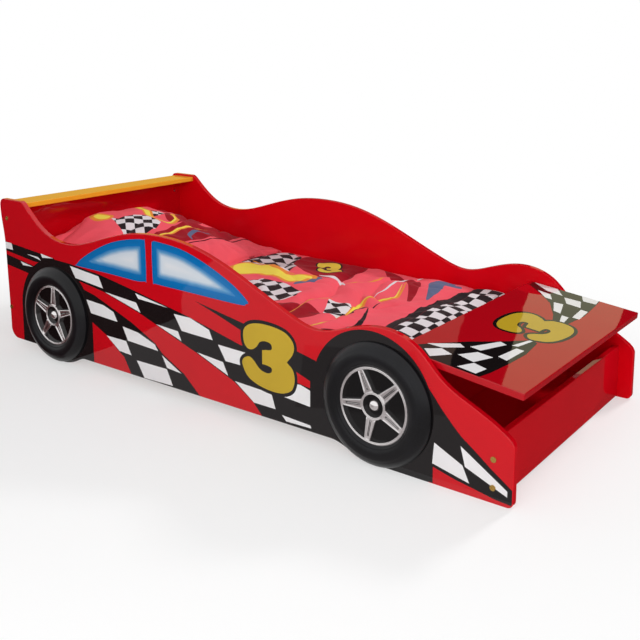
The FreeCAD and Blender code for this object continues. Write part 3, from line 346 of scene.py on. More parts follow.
# The side panels' inner faces: the same red lacquer painted lighter than RED, as painted light on
# them.
inner_lacquer_painted_light = lacquer("inner_lacquer_painted_light", rgb(226, 3, 22), 0.4, 0.22, 0.35)
print_black = lacquer("print_black", BLACK_INK)
print_white = lacquer("print_white", WHITE_INK)
print_gold = lacquer("print_gold", GOLD_INK)
window_blue = window_print()
chrome = metal("chrome", rgb(240, 237, 237), 0.04, 0.02, 0.0009)
# A black strip laid in each spoke's groove: painted shade.
groove_painted_shade = lacquer("groove_painted_shade", rgb(14, 12, 13), 0.4, 0.1)

INNER_DEPTH = 0.0145  # metres from a panel's outer face to where its inner face begins


def dress(material, *patterns):
    """Gives one material to the CAD nodes whose names match a pattern."""
    for name in nodes:
        if any(fnmatch(name, pattern) for pattern in patterns):
            nodes[name].data.materials.clear()
            nodes[name].data.materials.append(material)


dress(lacquer("panel_lacquer", RED, black_mask=arch_mask), "side_panel_*")
# Inner faces take the lighter copy of the lacquer, which is painted light.
for panel_node in ("side_panel_right", "side_panel_left"):
    panel_mesh = nodes[panel_node].data
    panel_mesh.materials.append(inner_lacquer_painted_light)
    for face in panel_mesh.polygons:
        face.material_index = 1 if abs(face.center.y) < PANEL_FACE - INNER_DEPTH else 0
dress(red_lacquer, "headboard", "partition_panel", "toy_box_floor", "front_panel")
# The lid: the same red lacquer painted darker than RED, as painted shade on its top.
dress(lacquer("lid_lacquer_painted_shade", rgb(180, 4, 21)), "hood_lid")
dress(lacquer("yellow_lacquer", rgb(240, 166, 44), 0.35, 0.06, 0.8), "head_shelf")
dress(pine_wood(), "slat_0*", "slat_1*", "slat_rail_*", "toy_box_cleat_*", "dowels")
dress(webbing_cloth(), "slat_strap_*")
dress(metal("zinc_steel", rgb(190, 190, 188), 0.28, 0.08),
      "hinge_*", "*_screws", "*_barrel_nuts")
dress(metal("bolt_brass", rgb(214, 176, 96), 0.24, 0.06), "rear_bolts", "front_bolts")
for wheel in ("front_right", "front_left", "rear_right", "rear_left"):
    low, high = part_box(f"wheel_{wheel}_tyre")
    dress(tyre_plastic((low + high) / 2), f"wheel_{wheel}_tyre")
    dress(chrome, f"wheel_{wheel}_rim", f"wheel_{wheel}_cap")


# -------------------- wheel trim

SPOKES = 5
SPOKE_PHASES = {"front": 115.0, "rear": 87.0}  # first spoke, from the nose direction upwards
SPOKE_RUN = (33.5, 84.8)  # mm from the hub's middle where a spoke's rails start and end
SPOKE_HALF = (10.6, 5.9)  # mm from a spoke's middle to its rails, at the start and at the end
SLOT_RUN = (37.2, 77.1)  # mm from the middle where the slot in a spoke starts and ends
SPOKE_LEVEL, SLOT_LEVEL = 392.0, 389.0  # mm from the bed's middle to the spokes and their slots
RAIL, SLOT_RAIL, GROOVE = (1.8, 2.3), (0.9, 3.4), (2.4, 0.3)  # half width and height in mm
RAIL_STEPS, SLOT_STEPS, RING_STEPS, BAR_STEPS = 12, 8, 96, 8
BEAD_LEVEL, BEAD_HEIGHT = 394.0, 1.1
BEADS = ((89.6, 1.6), (86.5, 0.9), (31.6, 1.2), (28.3, 1.0))  # radius and half width in mm


def rounded_sweep(bm, line, across, out, half, height, closed=False):
    """A low rounded bar on a surface, along line; across and out are its section's directions."""
    rings = []
    for point, side_way in zip(line, across):
        rings.append([
            bm.verts.new(point + side_way * (half * math.cos(a)) + out * (height * math.sin(a)))
            for a in np.radians(np.linspace(0, 180, BAR_STEPS + 1))
        ])
    for a, b in zip(rings, rings[1:] + rings[:1] if closed else rings[1:]):
        for i in range(BAR_STEPS):
            bm.faces.new((a[i], a[i + 1], b[i + 1], b[i]))
    if not closed:
        bm.faces.new(rings[0])
        bm.faces.new(list(reversed(rings[-1])))


def trim_piece(bm, name, material):
    """Ends a small piece of trim on the bed that was made of rounded sweeps."""
    bmesh.ops.recalc_face_normals(bm, faces=bm.faces)
    mesh = bpy.data.meshes.new(name)
    bm.to_mesh(mesh)
    bm.free()
    for face in mesh.polygons:
        face.use_smooth = len(face.vertices) == 4
    mesh.materials.append(material)
    made = add_object(name, mesh)
    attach(made, "bed")


def star_trim(end, side_name):
    """Raised rails on each spoke, dark strips between them laid in the grooves as painted shade, and
    beads on the rings of one wheel.
    """
    low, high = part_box(f"wheel_{end}_{side_name}_tyre")
    middle, side = (low + high) / 2, -1 if side_name == "right" else 1
    out = Vector((0, side, 0)) / 1000

    def spot(radius, angle, offset=0.0, level=SPOKE_LEVEL):
        a = math.radians(angle)
        way, turn = Vector((math.cos(a), 0, math.sin(a))), Vector((-math.sin(a), 0, math.cos(a)))
        place = Vector((middle.x, level / 1000 * side, middle.z))
        return place + way * (radius / 1000) + turn * (offset / 1000), way, turn

    trim, grooves = bmesh.new(), bmesh.new()
    for number in range(SPOKES):
        angle = SPOKE_PHASES[end] + number * 360 / SPOKES
        turn = spot(0, angle)[2] / 1000
        for edge in (-1, 1):
            line = [
                spot(r, angle, edge * np.interp(r, SPOKE_RUN, SPOKE_HALF))[0]
                for r in np.linspace(*SPOKE_RUN, RAIL_STEPS)
            ]
            rounded_sweep(trim, line, [turn] * RAIL_STEPS, out, *RAIL)
        line = [spot(r, angle, 0.0, SLOT_LEVEL)[0] for r in np.linspace(*SLOT_RUN, SLOT_STEPS)]
        rounded_sweep(trim, line, [turn] * SLOT_STEPS, out, *SLOT_RAIL)
        rounded_sweep(grooves, line, [turn] * SLOT_STEPS, out, *GROOVE)
    for radius, half in BEADS:
        around = np.linspace(0, 360, RING_STEPS, endpoint=False)
        line = [spot(radius, a, 0.0, BEAD_LEVEL)[0] for a in around]
        across = [spot(0, a)[1] / 1000 for a in around]
        rounded_sweep(trim, line, across, out, half, BEAD_HEIGHT, True)
    trim_piece(trim, f"star_trim_{end}_{side_name}", chrome)
    trim_piece(grooves, f"spoke_groove_shade_{end}_{side_name}", groove_painted_shade)


for trim_end in SPOKE_PHASES:
    for trim_side in ("right", "left"):
        star_trim(trim_end, trim_side)


# -------------------- flat graphics


def hermite(t):
    """Weights of a span's start, slope there, end and slope there, at the share t of the span."""
    return 2 * t**3 - 3 * t**2 + 1, t**3 - 2 * t**2 + t, 3 * t**2 - 2 * t**3, t**3 - t**2


def smooth(points, corners=(), steps=6, closed=True):
    """A curve through points, straightened where a point's number is in corners."""
    made, count = [], len(points)
    for i in range(count if closed else count - 1):
        p1, p2 = np.array(points[i], float), np.array(points[(i + 1) % count], float)
        before = points[i - 1] if closed or i > 0 else points[i]
        after = points[(i + 2) % count] if closed or i + 2 < count else points[(i + 1) % count]
        leave = (p2 - np.array(before, float)) / 2 if i not in corners else p2 - p1
        arrive = (np.array(after, float) - p1) / 2 if (i + 1) % count not in corners else p2 - p1
        for t in np.linspace(0, 1, steps, endpoint=False):
            a, b, c, d = hermite(t)
            made.append(tuple(a * p1 + b * leave + c * p2 + d * arrive))
    if not closed:
        made.append(tuple(points[-1]))
    return made


def disc(centre, radius, low=0.0, high=360.0, steps=64):
    """Points round a circle, or along its arc from low to high degrees."""
    turn = np.radians(np.linspace(low, high, steps, endpoint=high - low < 360))
    return [(centre[0] + radius * math.cos(a), centre[1] + radius * math.sin(a)) for a in turn]


def stroke(points, half):
    """A line of even width as convex pieces."""
    made = [disc(p, half, steps=12) for p in points]
    for (ax, ay), (bx, by) in zip(points, points[1:]):
        length = math.hypot(bx - ax, by - ay)
        if length > 1e-6:
            nx, ny = -(by - ay) / length * half, (bx - ax) / length * half
            made.append([
                (ax + nx, ay + ny), (ax - nx, ay - ny), (bx - nx, by - ny), (bx + nx, by + ny),
            ])
    return made


def counter_clockwise(points):
    area = sum(a[0] * b[1] - b[0] * a[1] for a, b in zip(points, points[1:] + points[:1]))
    return list(points) if area > 0 else list(reversed(points))


MERGE = 1e-4  # mm within which the triangulation takes points as one


def partition(field, layers):
    """Triangles of field that lie in a layer, each with the number of the last such layer."""
    points, faces, owner = [], [], []
    for number, polygons in enumerate([[field]] + layers):
        for polygon in polygons:
            ring = counter_clockwise(polygon)
            faces.append(list(range(len(points), len(points) + len(ring))))
            points += [Vector(p) for p in ring]
            owner.append(number)
    out, _, triangles, _, _, origins = delaunay_2d_cdt(points, [], faces, 1, MERGE)
    made = []
    for triangle, origin in zip(triangles, origins):
        numbers = [owner[o] for o in origin]
        if 0 in numbers and max(numbers) > 0:
            made.append((triangle, max(numbers) - 1))
    return [tuple(p) for p in out], made


def flat_mesh(name, points, triangles, place, materials, body):
    """A thin print: triangles of a flat layout, put in space by place(x, y)."""
    mesh = bpy.data.meshes.new(name)
    used = sorted({i for triangle, _ in triangles for i in triangle})
    number = {old: new for new, old in enumerate(used)}
    mesh.from_pydata(
        [place(*points[i]) for i in used], [],
        [[number[i] for i in triangle] for triangle, _ in triangles],
    )
    for material in materials:
        mesh.materials.append(material)
    for face, (_, layer) in zip(mesh.polygons, triangles):
        face.material_index = layer
    made = add_object(name, mesh)
    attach(made, body)
    return made


def face_outline(node, level):
    """The outer edge of a panel's flat face at y = level, in bed coordinates (x, z)."""
    mesh = nodes[node].data
    co = [tuple(v.co) for v in mesh.vertices]
    edges = {}
    for face in mesh.polygons:
        if all(abs(co[v][1] - level) < 1e-6 for v in face.vertices):
            ring = [tuple(round(c, 6) for c in co[v]) for v in face.vertices]
            for edge in zip(ring, ring[1:] + ring[:1]):
                if not edges.pop(edge[::-1], False):
                    edges[edge] = True
    following = dict(edges.keys())
    loops = []
    while following:
        start, here = next(iter(following.items()))
        loop = [start]
        del following[start]
        while here != start:
            loop.append(here)
            here = following.pop(here)
        loops.append(loop)
    loop = max(loops, key=len)
    return [((x - TAIL) * 1000, z * 1000) for x, _, z in loop]


# The race number in mm about its middle: a plain fat numeral.
NUMERAL = [
    (-80, 44), (-76, 62), (-58, 76), (-30, 83), (2, 84), (34, 81), (60, 74), (78, 60), (85, 42),
    (79, 22), (62, 1), (79, -12), (86, -30), (85, -50), (76, -68), (54, -80), (26, -84),
    (-8, -82), (-40, -75), (-66, -62), (-80, -42), (-84, -26), (-75, -14), (-59, -9), (-44, -17),
    (-31, -30), (-17, -38), (2, -40), (13, -34), (13, -24), (-2, -20), (-17, -20), (-17, 16),
    (-7, 19), (11, 22), (15, 30), (9, 39), (-8, 41), (-24, 36), (-35, 22), (-50, 12), (-66, 12),
    (-77, 25),
]
NUMERAL_CORNERS = (10, 31, 32)
NUMERAL_OUTLINE = 9.0  # mm from the numeral to the edge of its black


def numeral(centre_x, centre_y, right=(1, 0), up=(0, 1)):
    """The race number and its black outline, with its own right and up directions."""
    def put(x, y):
        return (centre_x + x * right[0] + y * up[0], centre_y + x * right[1] + y * up[1])

    gold = [put(*p) for p in smooth(NUMERAL, NUMERAL_CORNERS)]
    return gold, stroke(gold + gold[:1], NUMERAL_OUTLINE)


# Prints on a side panel, in bed coordinates (x, z).
BAND_TOP = [(255, 318), (340, 315), (475, 303), (628, 279), (761, 256), (832, 244), (916, 226),
            (1024, 202), (1130, 240), (1261, 213)]
BAND_LOW = [(1420, 20), (1103, 20), (1063, 60), (998, 100), (861, 150), (808, 166), (708, 198),
            (651, 216), (495, 254), (374, 270), (300, 290)]
LOWER_BAND_TOP = [(360, 262), (376, 266), (395, 248), (451, 237), (533, 210), (610, 184),
                  (644, 169), (705, 142), (734, 118), (815, 79), (874, 30), (890, 0)]
LOWER_BAND_LOW = [(615, 0), (600, 32), (572, 76), (554, 86), (500, 125), (437, 153), (300, 160)]
NOSE_BAND = [(1420, 250), (1475, 302), (1506, 285), (1529, 265), (1555, 235), (1581, 206),
             (1603, 179), (1632, 148), (1653, 128), (1688, 103), (1722, 77), (1773, 42),
             (1773, 8), (1732, 11), (1688, 19), (1639, 27), (1582, 41), (1576, -10), (1420, -10)]
REAR_ARCH = [(93, -10), (93, 114)] + disc((265, 144), 172, 175, 5, 50) + [(437, 114), (437, -10)]
FRONT_ARCH = [(1250, -10), (1250, 150)] + disc((1418, 150), 167, 178, 0, 50) + [(1585, -10)]
SPIKE = [(861, 291), (948, 276), (1036, 261), (1036, 238), (948, 266)]
TAIL_STRIPES = [
    [(0, 346), (20, 342), (150, 331), (263, 321), (300, 300), (166, 297), (28, 312), (0, 316)],
    [(0, 303), (24, 300), (95, 291), (180, 280), (160, 252), (28, 267), (0, 271)],
]
WHITE_CELLS = [
    [(342, 309), (472, 297), (490, 264), (366, 276)], [(628, 273), (757, 254), (640, 259)],
    [(498, 255), (631, 246), (648, 220)], [(781, 241), (842, 241), (912, 221), (924, 196), (810, 199)],
    [(709, 199), (795, 195), (808, 170)], [(943, 188), (1037, 186), (1030, 149), (969, 149)],
    [(865, 151), (960, 144), (977, 111)], [(1001, 102), (1123, 98), (1136, 60), (1065, 60)],
    [(1157, 50), (1246, 46), (1248, 39), (1170, 37)],
    [(1190, 139), (1215, 142), (1245, 134), (1245, 93), (1161, 99)],
    [(413, 218), (490, 214), (533, 201), (548, 175), (432, 180)],
    [(570, 166), (635, 160), (702, 139), (715, 123), (591, 128)],
    [(499, 125), (583, 125), (604, 87), (553, 90)], [(730, 114), (805, 78), (749, 82)],
    [(626, 77), (748, 78), (770, 35), (656, 32)],
    [(1587, 97), (1657, 64), (1674, 28), (1583, 48)],
    [(1651, 107), (1762, 37), (1762, 24), (1663, 63)],
    [(4, 341), (51, 340), (58, 319), (8, 320)], [(130, 316), (185, 314), (201, 305)],
    [(201, 327), (262, 320), (208, 315)], [(96, 288), (160, 279), (107, 277)],
]
RED_SLIVER = [(1197, 174), (1245, 158), (1245, 140), (1197, 146)]
NUMBER_PLACE = (1111, 188)
WINDOWS = {
    "rear": smooth([(371, 317), (401, 341), (458, 373), (525, 402), (585, 419), (643, 429),
                    (668, 430), (675, 424), (676, 320), (669, 313), (632, 309), (526, 312),
                    (378, 314)], (0,)),
    "front": smooth([(701, 419), (706, 430), (723, 432), (816, 423), (908, 396), (997, 357),
                     (1047, 322), (1041, 313), (1014, 308), (816, 311), (716, 313), (702, 320)]),
}
WINDOW_GRID = 7.0  # mm between the points that carry a window's fade


def signed_distance(points, polygons):
    """Distance in mm from each point to the nearest edge of polygons, positive inside."""
    points = np.asarray(points, float)
    best = np.full(len(points), -1e9)
    for polygon in polygons:
        corners = np.array(polygon, float)
        near = np.full(len(points), 1e9)
        inside = np.zeros(len(points), bool)
        for a, b in zip(corners, np.roll(corners, -1, axis=0)):
            edge = b - a
            share = np.clip(((points - a) @ edge) / max(edge @ edge, 1e-12), 0, 1)
            near = np.minimum(near, np.hypot(*(points - a - share[:, None] * edge).T))
            crosses = (a[1] > points[:, 1]) != (b[1] > points[:, 1])
            slope = edge[0] * (points[:, 1] - a[1]) / (edge[1] if abs(edge[1]) > 1e-12 else 1e-12)
            inside ^= crosses & (points[:, 0] < slope + a[0])
        best = np.maximum(best, np.where(inside, near, -near))
    return best


def write_attribute(mesh, name, values):
    made = mesh.attributes.new(name, "FLOAT", "POINT")
    made.data.foreach_set("value", np.asarray(values, np.float32))


def side_graphics(side_name, side):
    """Prints on the outside of one side panel."""
    outline = face_outline(f"side_panel_{side_name}", PANEL_FACE * side)
    gold, gold_edge = numeral(*NUMBER_PLACE, right=(-side, 0))
    black = [smooth(BAND_TOP[:8], range(8), 1, False) + BAND_LOW, BAND_TOP[7:] + BAND_LOW[:3],
             LOWER_BAND_TOP + LOWER_BAND_LOW, NOSE_BAND, REAR_ARCH, FRONT_ARCH, SPIKE]
    layers = [black + TAIL_STRIPES, [RED_SLIVER], WHITE_CELLS, gold_edge, [gold]]
    points, triangles = partition(outline, layers)
    materials = [print_black, red_lacquer, print_white, print_black, print_gold]
    level = PANEL_FACE * 1000 * side

    def place(x, z):
        spot = bed(x, level, z)
        spot.y += PRINT_PROUD * side
        return spot

    if side > 0:
        triangles = [(list(reversed(t)), layer) for t, layer in triangles]
    flat_mesh(f"side_print_{side_name}", points, triangles, place, materials, "bed")
    for name, polygon in WINDOWS.items():
        low, high = np.min(polygon, axis=0), np.max(polygon, axis=0)
        grid = [
            (x, z)
            for x in np.arange(low[0], high[0], WINDOW_GRID)
            for z in np.arange(low[1], high[1], WINDOW_GRID)
        ]
        depth = signed_distance(grid, [polygon])
        grid = [p for p, d in zip(grid, depth) if d > WINDOW_GRID / 2]
        ring = counter_clockwise(polygon)
        out, _, faces, _, _, _ = delaunay_2d_cdt(
            [Vector(p) for p in ring + grid], [], [list(range(len(ring)))], 1, MERGE
        )
        out = [tuple(p) for p in out]
        faces = [(list(reversed(f)) if side > 0 else f, 0) for f in faces]
        made = flat_mesh(f"window_{name}_{side_name}", out, faces, place, [window_blue], "bed")
        used = [((v.co.x - TAIL) * 1000, v.co.z * 1000) for v in made.data.vertices]
        write_attribute(made.data, "depth", signed_distance(used, [polygon]))


for panel_name, panel_side in (("right", -1), ("left", 1)):
    side_graphics(panel_name, panel_side)


# -------------------- the lid's print

LID_TILT = math.radians(7.1)
LID_MARGIN = 2.2  # mm from the lid's edges to its print: the rounding stays red
LID_NUMBER = (162, 18)  # mm from the hinge axis and from the middle
HINGE = Vector(next(j for j in frame["joints"] if j["name"] == "lid_hinge")["pos_m"])
LID_ALONG = Vector((math.cos(LID_TILT), 0, -math.sin(LID_TILT)))
LID_NORMAL = Vector((math.sin(LID_TILT), 0, math.cos(LID_TILT)))
lid_co = [v.co - HINGE for v in nodes["hood_lid"].data.vertices]
LID_TOP = max(p.dot(LID_NORMAL) for p in lid_co)
LID_REACH = max(p.dot(LID_ALONG) for p in lid_co) * 1000
LID_HALF = max(p.y for p in lid_co) * 1000


def on_lid(x, y):
    """A point of the lid's top: x mm from the hinge axis, y mm from the middle."""
    top = HINGE + LID_NORMAL * (LID_TOP + PRINT_PROUD)
    return top + LID_ALONG * (x / 1000) + Vector((0, y / 1000, 0))


def lid_graphics():
    """Two chequered flags and the race number on the lid's top."""
    edge, reach = LID_HALF - LID_MARGIN, LID_REACH - LID_MARGIN
    field = [(0, -edge), (reach, -edge), (reach, edge), (0, edge)]
    near = [(8, -340), (36, -289), (92, -204), (150, -132), (195, -66), (211, -78), (221, -164),
            (217, -248), (211, -320), (199, -380), (8, -380)]
    far = [(4, 380), (9, 326), (62, 279), (113, 226), (156, 146), (172, 104), (210, 106),
           (218, 200), (208, 312), (199, 380)]
    cells = [
        [(34, -289), (87, -228), (105, -240), (70, -283)],
        [(45, -320), (72, -287), (105, -299), (76, -348)],
        [(111, -226), (146, -140), (165, -146), (139, -227)],
        [(114, -289), (138, -240), (177, -240), (158, -299)],
        [(144, -348), (161, -302), (196, -309), (190, -350)],
        [(175, -140), (189, -77), (199, -68), (188, -134)],
        [(182, -226), (190, -147), (209, -146), (206, -232)],
        [(10, 358), (79, 360), (113, 313), (65, 317)], [(45, 301), (85, 295), (106, 257), (86, 258)],
        [(118, 241), (143, 246), (166, 170), (145, 175)],
        [(122, 304), (168, 309), (186, 258), (146, 260)],
        [(145, 372), (199, 366), (204, 323), (170, 319)],
        [(192, 246), (212, 245), (218, 168), (199, 168)],
        [(174, 160), (193, 159), (200, 107), (189, 108)],
    ]
    gold, gold_edge = numeral(*LID_NUMBER, right=(0, 1), up=(-1, 0))
    points, triangles = partition(field, [[near, far], cells, gold_edge, [gold]])
    materials = [print_black, print_white, print_black, print_gold]
    flat_mesh("lid_print", points, triangles, on_lid, materials, "lid")


lid_graphics()


# -------------------- bedding


def interpolate(stations, share):
    """Smooth values between rows that start with their share of the length."""
    xs = [row[0] for row in stations]
    i = int(np.clip(np.searchsorted(xs, share) - 1, 0, len(xs) - 2))
    span = xs[i + 1] - xs[i]
    a, b, c, d = hermite((share - xs[i]) / span)
    made = []
    for ys in list(zip(*stations))[1:]:
        slope = np.gradient(ys, xs)
        made.append(ys[i] * a + ys[i + 1] * c + span * (slope[i] * b + slope[i + 1] * d))
    return made


def resample(points, count):
    """count points at even distances along a polyline."""
    points = np.array(points, float)
    travel = np.concatenate([[0], np.cumsum(np.hypot(*np.diff(points, axis=0).T))])
    spots = np.linspace(0, travel[-1], count)
    return np.stack([np.interp(spots, travel, points[:, c]) for c in range(2)], axis=1)


SECTION_SAMPLES = 600


def section(half, seam, bottom, edge, crown, box, count):
    """Closed loop across a soft piece: top from +y to -y, then underside back; seams at both ends."""
    ys = half * np.sin(np.linspace(math.pi / 2, -math.pi / 2, SECTION_SAMPLES))
    share = np.abs(ys / half)
    rounding = np.sqrt(np.clip(1 - share**box, 0, 1))
    arch = edge + (crown - edge) * (1 - share**2)
    top = resample(np.stack([ys, seam + (arch - seam) * rounding], 1), count)
    under = np.sqrt(np.clip(1 - share**(box * 1.5), 0, 1))
    low = resample(np.stack([ys[::-1], (seam - (seam - bottom) * under)[::-1]], 1), count)
    return np.concatenate([top, low[1:-1]])


def closed_loft(name, rings, xs):
    """Quads between rings, with the first and the last ring drawn together across the piece."""
    count = len(rings[0])
    half = count // 2
    verts = [(x, y, z) for x, ring in zip(xs, rings) for y, z in ring]
    faces = []
    for i in range(len(rings) - 1):
        for j in range(count):
            k = (j + 1) % count
            faces.append((i * count + j, (i + 1) * count + j, (i + 1) * count + k, i * count + k))
    for base, flip in ((0, False), ((len(rings) - 1) * count, True)):
        for j in range(half):
            a, b = base + j, base + j + 1
            c, d = base + (count - j - 1) % count, base + (count - j) % count
            quad = (a, b, c, d) if j else (a, b, c)
            quad = quad if b != c else (a, b, d)
            faces.append(tuple(reversed(quad)) if flip else quad)
    mesh = bpy.data.meshes.new(name)
    mesh.from_pydata([bed(x, y, z) for x, y, z in verts], [], faces)
    bm = bmesh.new()
    bm.from_mesh(mesh)
    bmesh.ops.recalc_face_normals(bm, faces=bm.faces)
    bm.to_mesh(mesh)
    bm.free()
    return add_object(name, mesh)


def read_vertices(mesh, kind="co"):
    """The places, or with "normal" the normals, of a mesh's vertices."""
    found = np.zeros(len(mesh.vertices) * 3)
    mesh.vertices.foreach_get(kind, found)
    return found.reshape(-1, 3)


# Rows of the pillow: share of the length, width, then bottom, edge and crown heights in mm.
PILLOW_STATIONS = [
    (0.0, 0.93, 88.0, 104.0, 150.0), (0.06, 0.975, 42.0, 100.0, 176.0),
    (0.2, 1.0, 6.0, 88.0, 188.0), (0.4, 0.985, 1.0, 76.0, 172.0),
    (0.6, 0.975, 1.0, 66.0, 146.0), (0.78, 0.985, 8.0, 60.0, 113.0),
    (0.91, 1.0, 34.0, 56.0, 84.0), (1.0, 0.95, 50.0, 57.0, 64.0),
]
PILLOW_SEAM = 465.0  # where the printed top meets the plain front, along the bed
PILLOW_FRONT, PILLOW_CLOSE = 0.955, 0.045  # share where the front end closes, and over how much
PILLOW_BACK = 0.05  # share of the length over which the rear end rises
PILLOW_SLACK = 4  # mm that the folds may add
PILLOW_BOX, DUVET_BOX = 2.6, 26  # how square a section is: 2 is round
# Rows of the duvet: share of the length, then crown and edge heights as shares of the loft.
DUVET_STATIONS = [
    (0.0, 0.32, 0.30), (0.05, 0.78, 0.70), (0.14, 0.98, 0.84), (0.27, 1.0, 0.86),
    (0.36, 0.96, 0.84), (0.50, 1.0, 0.84), (0.62, 0.95, 0.80), (0.74, 0.98, 0.76),
    (0.86, 0.90, 0.72), (0.95, 0.80, 0.62), (1.0, 0.45, 0.36),
]
DUVET_LOFT = 46.0
DUVET_SEAM = 0.35  # height of its side seam as a share of the edge's
PILLOW_ROWS, DUVET_ROWS, SECTION_POINTS = 86, 140, 100
HEM_START = 1315.0  # the duvet's black band, then its checks, along the bed
HEM_CHECKS = 1345.0
HEM_CELL = 37.0


def soft_span(low, high):
    """Start, length, half width and underside of a box, in bed coordinates."""
    return (low.x - TAIL) * 1000, (high.x - low.x) * 1000, high.y * 1000, low.z * 1000


def pillow_shape():
    """The pillow's cover, highest near the headboard, with both ends drawn in."""
    start, length, half, base = soft_span(PILLOW_LOW, PILLOW_HIGH)
    rings, xs = [], []
    for share in np.linspace(0, 1, PILLOW_ROWS):
        width, bottom, edge, crown = interpolate(PILLOW_STATIONS, share)
        close = math.sqrt(max(0.0, 1 - max(0.0, (share - PILLOW_FRONT) / PILLOW_CLOSE) ** 2))
        back = math.sqrt(max(0.02, 1 - max(0.0, (PILLOW_BACK - share) / PILLOW_BACK) ** 2))
        seam = edge * 0.9
        top = seam + (crown - seam) * close * (0.6 + 0.4 * back)
        bottom = seam - (seam - bottom) * close
        rings.append(section(
            half * width - 3, base + seam, base + bottom, base + seam + (edge - seam) * close,
            base + top - PILLOW_SLACK, PILLOW_BOX, SECTION_POINTS,
        ))
        xs.append(start + PILLOW_SLACK + (length - 2 * PILLOW_SLACK) * share)
    return closed_loft("pillow_cover", rings, xs)


def duvet_shape():
    """The duvet's cover, a low pad with drawn-in ends."""
    start, length, half, base = soft_span(DUVET_LOW, DUVET_HIGH)
    rings, xs = [], []
    for share in np.linspace(0, 1, DUVET_ROWS):
        crown, edge = (v * DUVET_LOFT for v in interpolate(DUVET_STATIONS, share))
        rings.append(section(
            half - 2, base + edge * DUVET_SEAM, base, base + edge, base + crown, DUVET_BOX,
            SECTION_POINTS,
        ))
        xs.append(start + length * share)
    return closed_loft("duvet_cover", rings, xs)


CLOTH = {
    "quality": 6, "mass": 0.25, "tension_stiffness": 12.0, "compression_stiffness": 12.0,
    "shear_stiffness": 6.0, "bending_stiffness": 0.35, "use_pressure": True,
    "shrink_min": -0.02,
}
CLOTH_FRAMES = 20
PILLOW_FILL, DUVET_FILL = (4.0, 0.010), (2.5, 0.008)  # pressure, and the furthest move in metres


def relax(made, pressure, cap):
    """Fills a cover with Blender's cloth, and lets no point move further than cap metres."""
    before = read_vertices(made.data)
    cloth = made.modifiers.new("cloth", "CLOTH")
    for name, value in CLOTH.items():
        setattr(cloth.settings, name, value)
    cloth.settings.uniform_pressure_force = pressure
    cloth.settings.effector_weights.gravity = 0.0
    cloth.collision_settings.use_collision = False
    cloth.point_cache.frame_start, cloth.point_cache.frame_end = 1, CLOTH_FRAMES
    scene = bpy.context.scene
    for number in range(1, CLOTH_FRAMES + 1):
        scene.frame_set(number)
    ready = made.evaluated_get(bpy.context.evaluated_depsgraph_get())
    move = read_vertices(ready.data) - before
    made.modifiers.remove(cloth)
    scene.frame_set(1)
    length = np.linalg.norm(move, axis=1, keepdims=True)
    move *= cap * np.tanh(length / cap) / np.maximum(length, 1e-9)
    made.data.vertices.foreach_set("co", (before + move).ravel())
    made.data.update()


def waves(x, y, seed, scale, count=9):
    """Smooth hills from -1 to 1, repeatable; scale is their length in mm."""
    chance = np.random.default_rng(seed)
    total = np.zeros_like(x)
    for _ in range(count):
        turn, phase = chance.uniform(0, 2 * math.pi, 2)
        wave = scale * chance.uniform(0.7, 1.5)
        total += np.sin((x * math.cos(turn) + y * math.sin(turn)) * 2 * math.pi / wave + phase)
    return total / math.sqrt(count)


def fold(x, y, points, width):
    """One crease along a polyline: a sharp valley between two swells. Width is its reach in mm."""
    near = np.full(len(x), 1e9)
    for (ax, ay), (bx, by) in zip(points, points[1:]):
        ex, ey = bx - ax, by - ay
        share = np.clip(((x - ax) * ex + (y - ay) * ey) / (ex * ex + ey * ey), 0, 1)
        near = np.minimum(near, np.hypot(x - ax - share * ex, y - ay - share * ey))
    ends = np.ones(len(x))
    for px, py in (points[0], points[-1]):
        ends *= np.clip(np.hypot(x - px, y - py) / 60, 0, 1)
    return (np.exp(-near / (0.45 * width)) - 0.75 * np.exp(-((near / width - 1.1) ** 2))) * ends


def finish_soft(made):
    """One subdivision, applied by hand so that attributes can be written on its points."""
    bm = bmesh.new()
    bm.from_mesh(made.data)
    bmesh.ops.subdivide_edges(bm, edges=bm.edges, cuts=1, use_grid_fill=True, smooth=1.0)
    bm.to_mesh(made.data)
    bm.free()
    for face in made.data.polygons:
        face.use_smooth = True


def in_mm(made):
    """The x, y and z of an object's vertices, in bed coordinates."""
    x, y, z = (read_vertices(made.data) * 1000).T
    return x - TAIL * 1000, y, z


def filled(made, pressure, cap):
    """A filled cover, its vertices' x and y in bed coordinates, and their normals."""
    relax(made, pressure, cap)
    finish_soft(made)
    return made, *in_mm(made)[:2], read_vertices(made.data, "normal")


def swell(made, normal, lift, low, high):
    """Moves vertices along their normals by lift mm, held between low and high."""
    place = np.stack(in_mm(made), 1) + normal * np.clip(lift, low, high)[:, None]
    place /= 1000
    place[:, 0] += TAIL
    made.data.vertices.foreach_set("co", place.ravel())
    made.data.update()


NO_INK = -50.0  # mm outside every ink


def write_inks(made, flat, inks, off):
    """Flat coordinates and one signed distance for each ink; off marks points without a print."""
    vector = made.data.attributes.new("flat", "FLOAT_VECTOR", "POINT")
    vector.data.foreach_set("vector", np.c_[flat, np.zeros(len(flat))].astype(np.float32).ravel())
    for name, polygons in inks.items():
        distance = np.where(off, NO_INK, signed_distance(flat, polygons))
        write_attribute(made.data, name, distance)


def ribbon(points, widths, steps=8):
    """A brush stroke through points whose half width follows widths, as one outline."""
    line = np.array(smooth(points, (), steps, False))
    way = np.gradient(line, axis=0)
    way /= np.linalg.norm(way, axis=1, keepdims=True)
    reach = np.interp(np.linspace(0, len(widths) - 1, len(line)), range(len(widths)), widths)
    side = np.stack([-way[:, 1], way[:, 0]], 1) * reach[:, None]
    return [tuple(p) for p in np.concatenate([line + side, (line - side)[::-1]])]


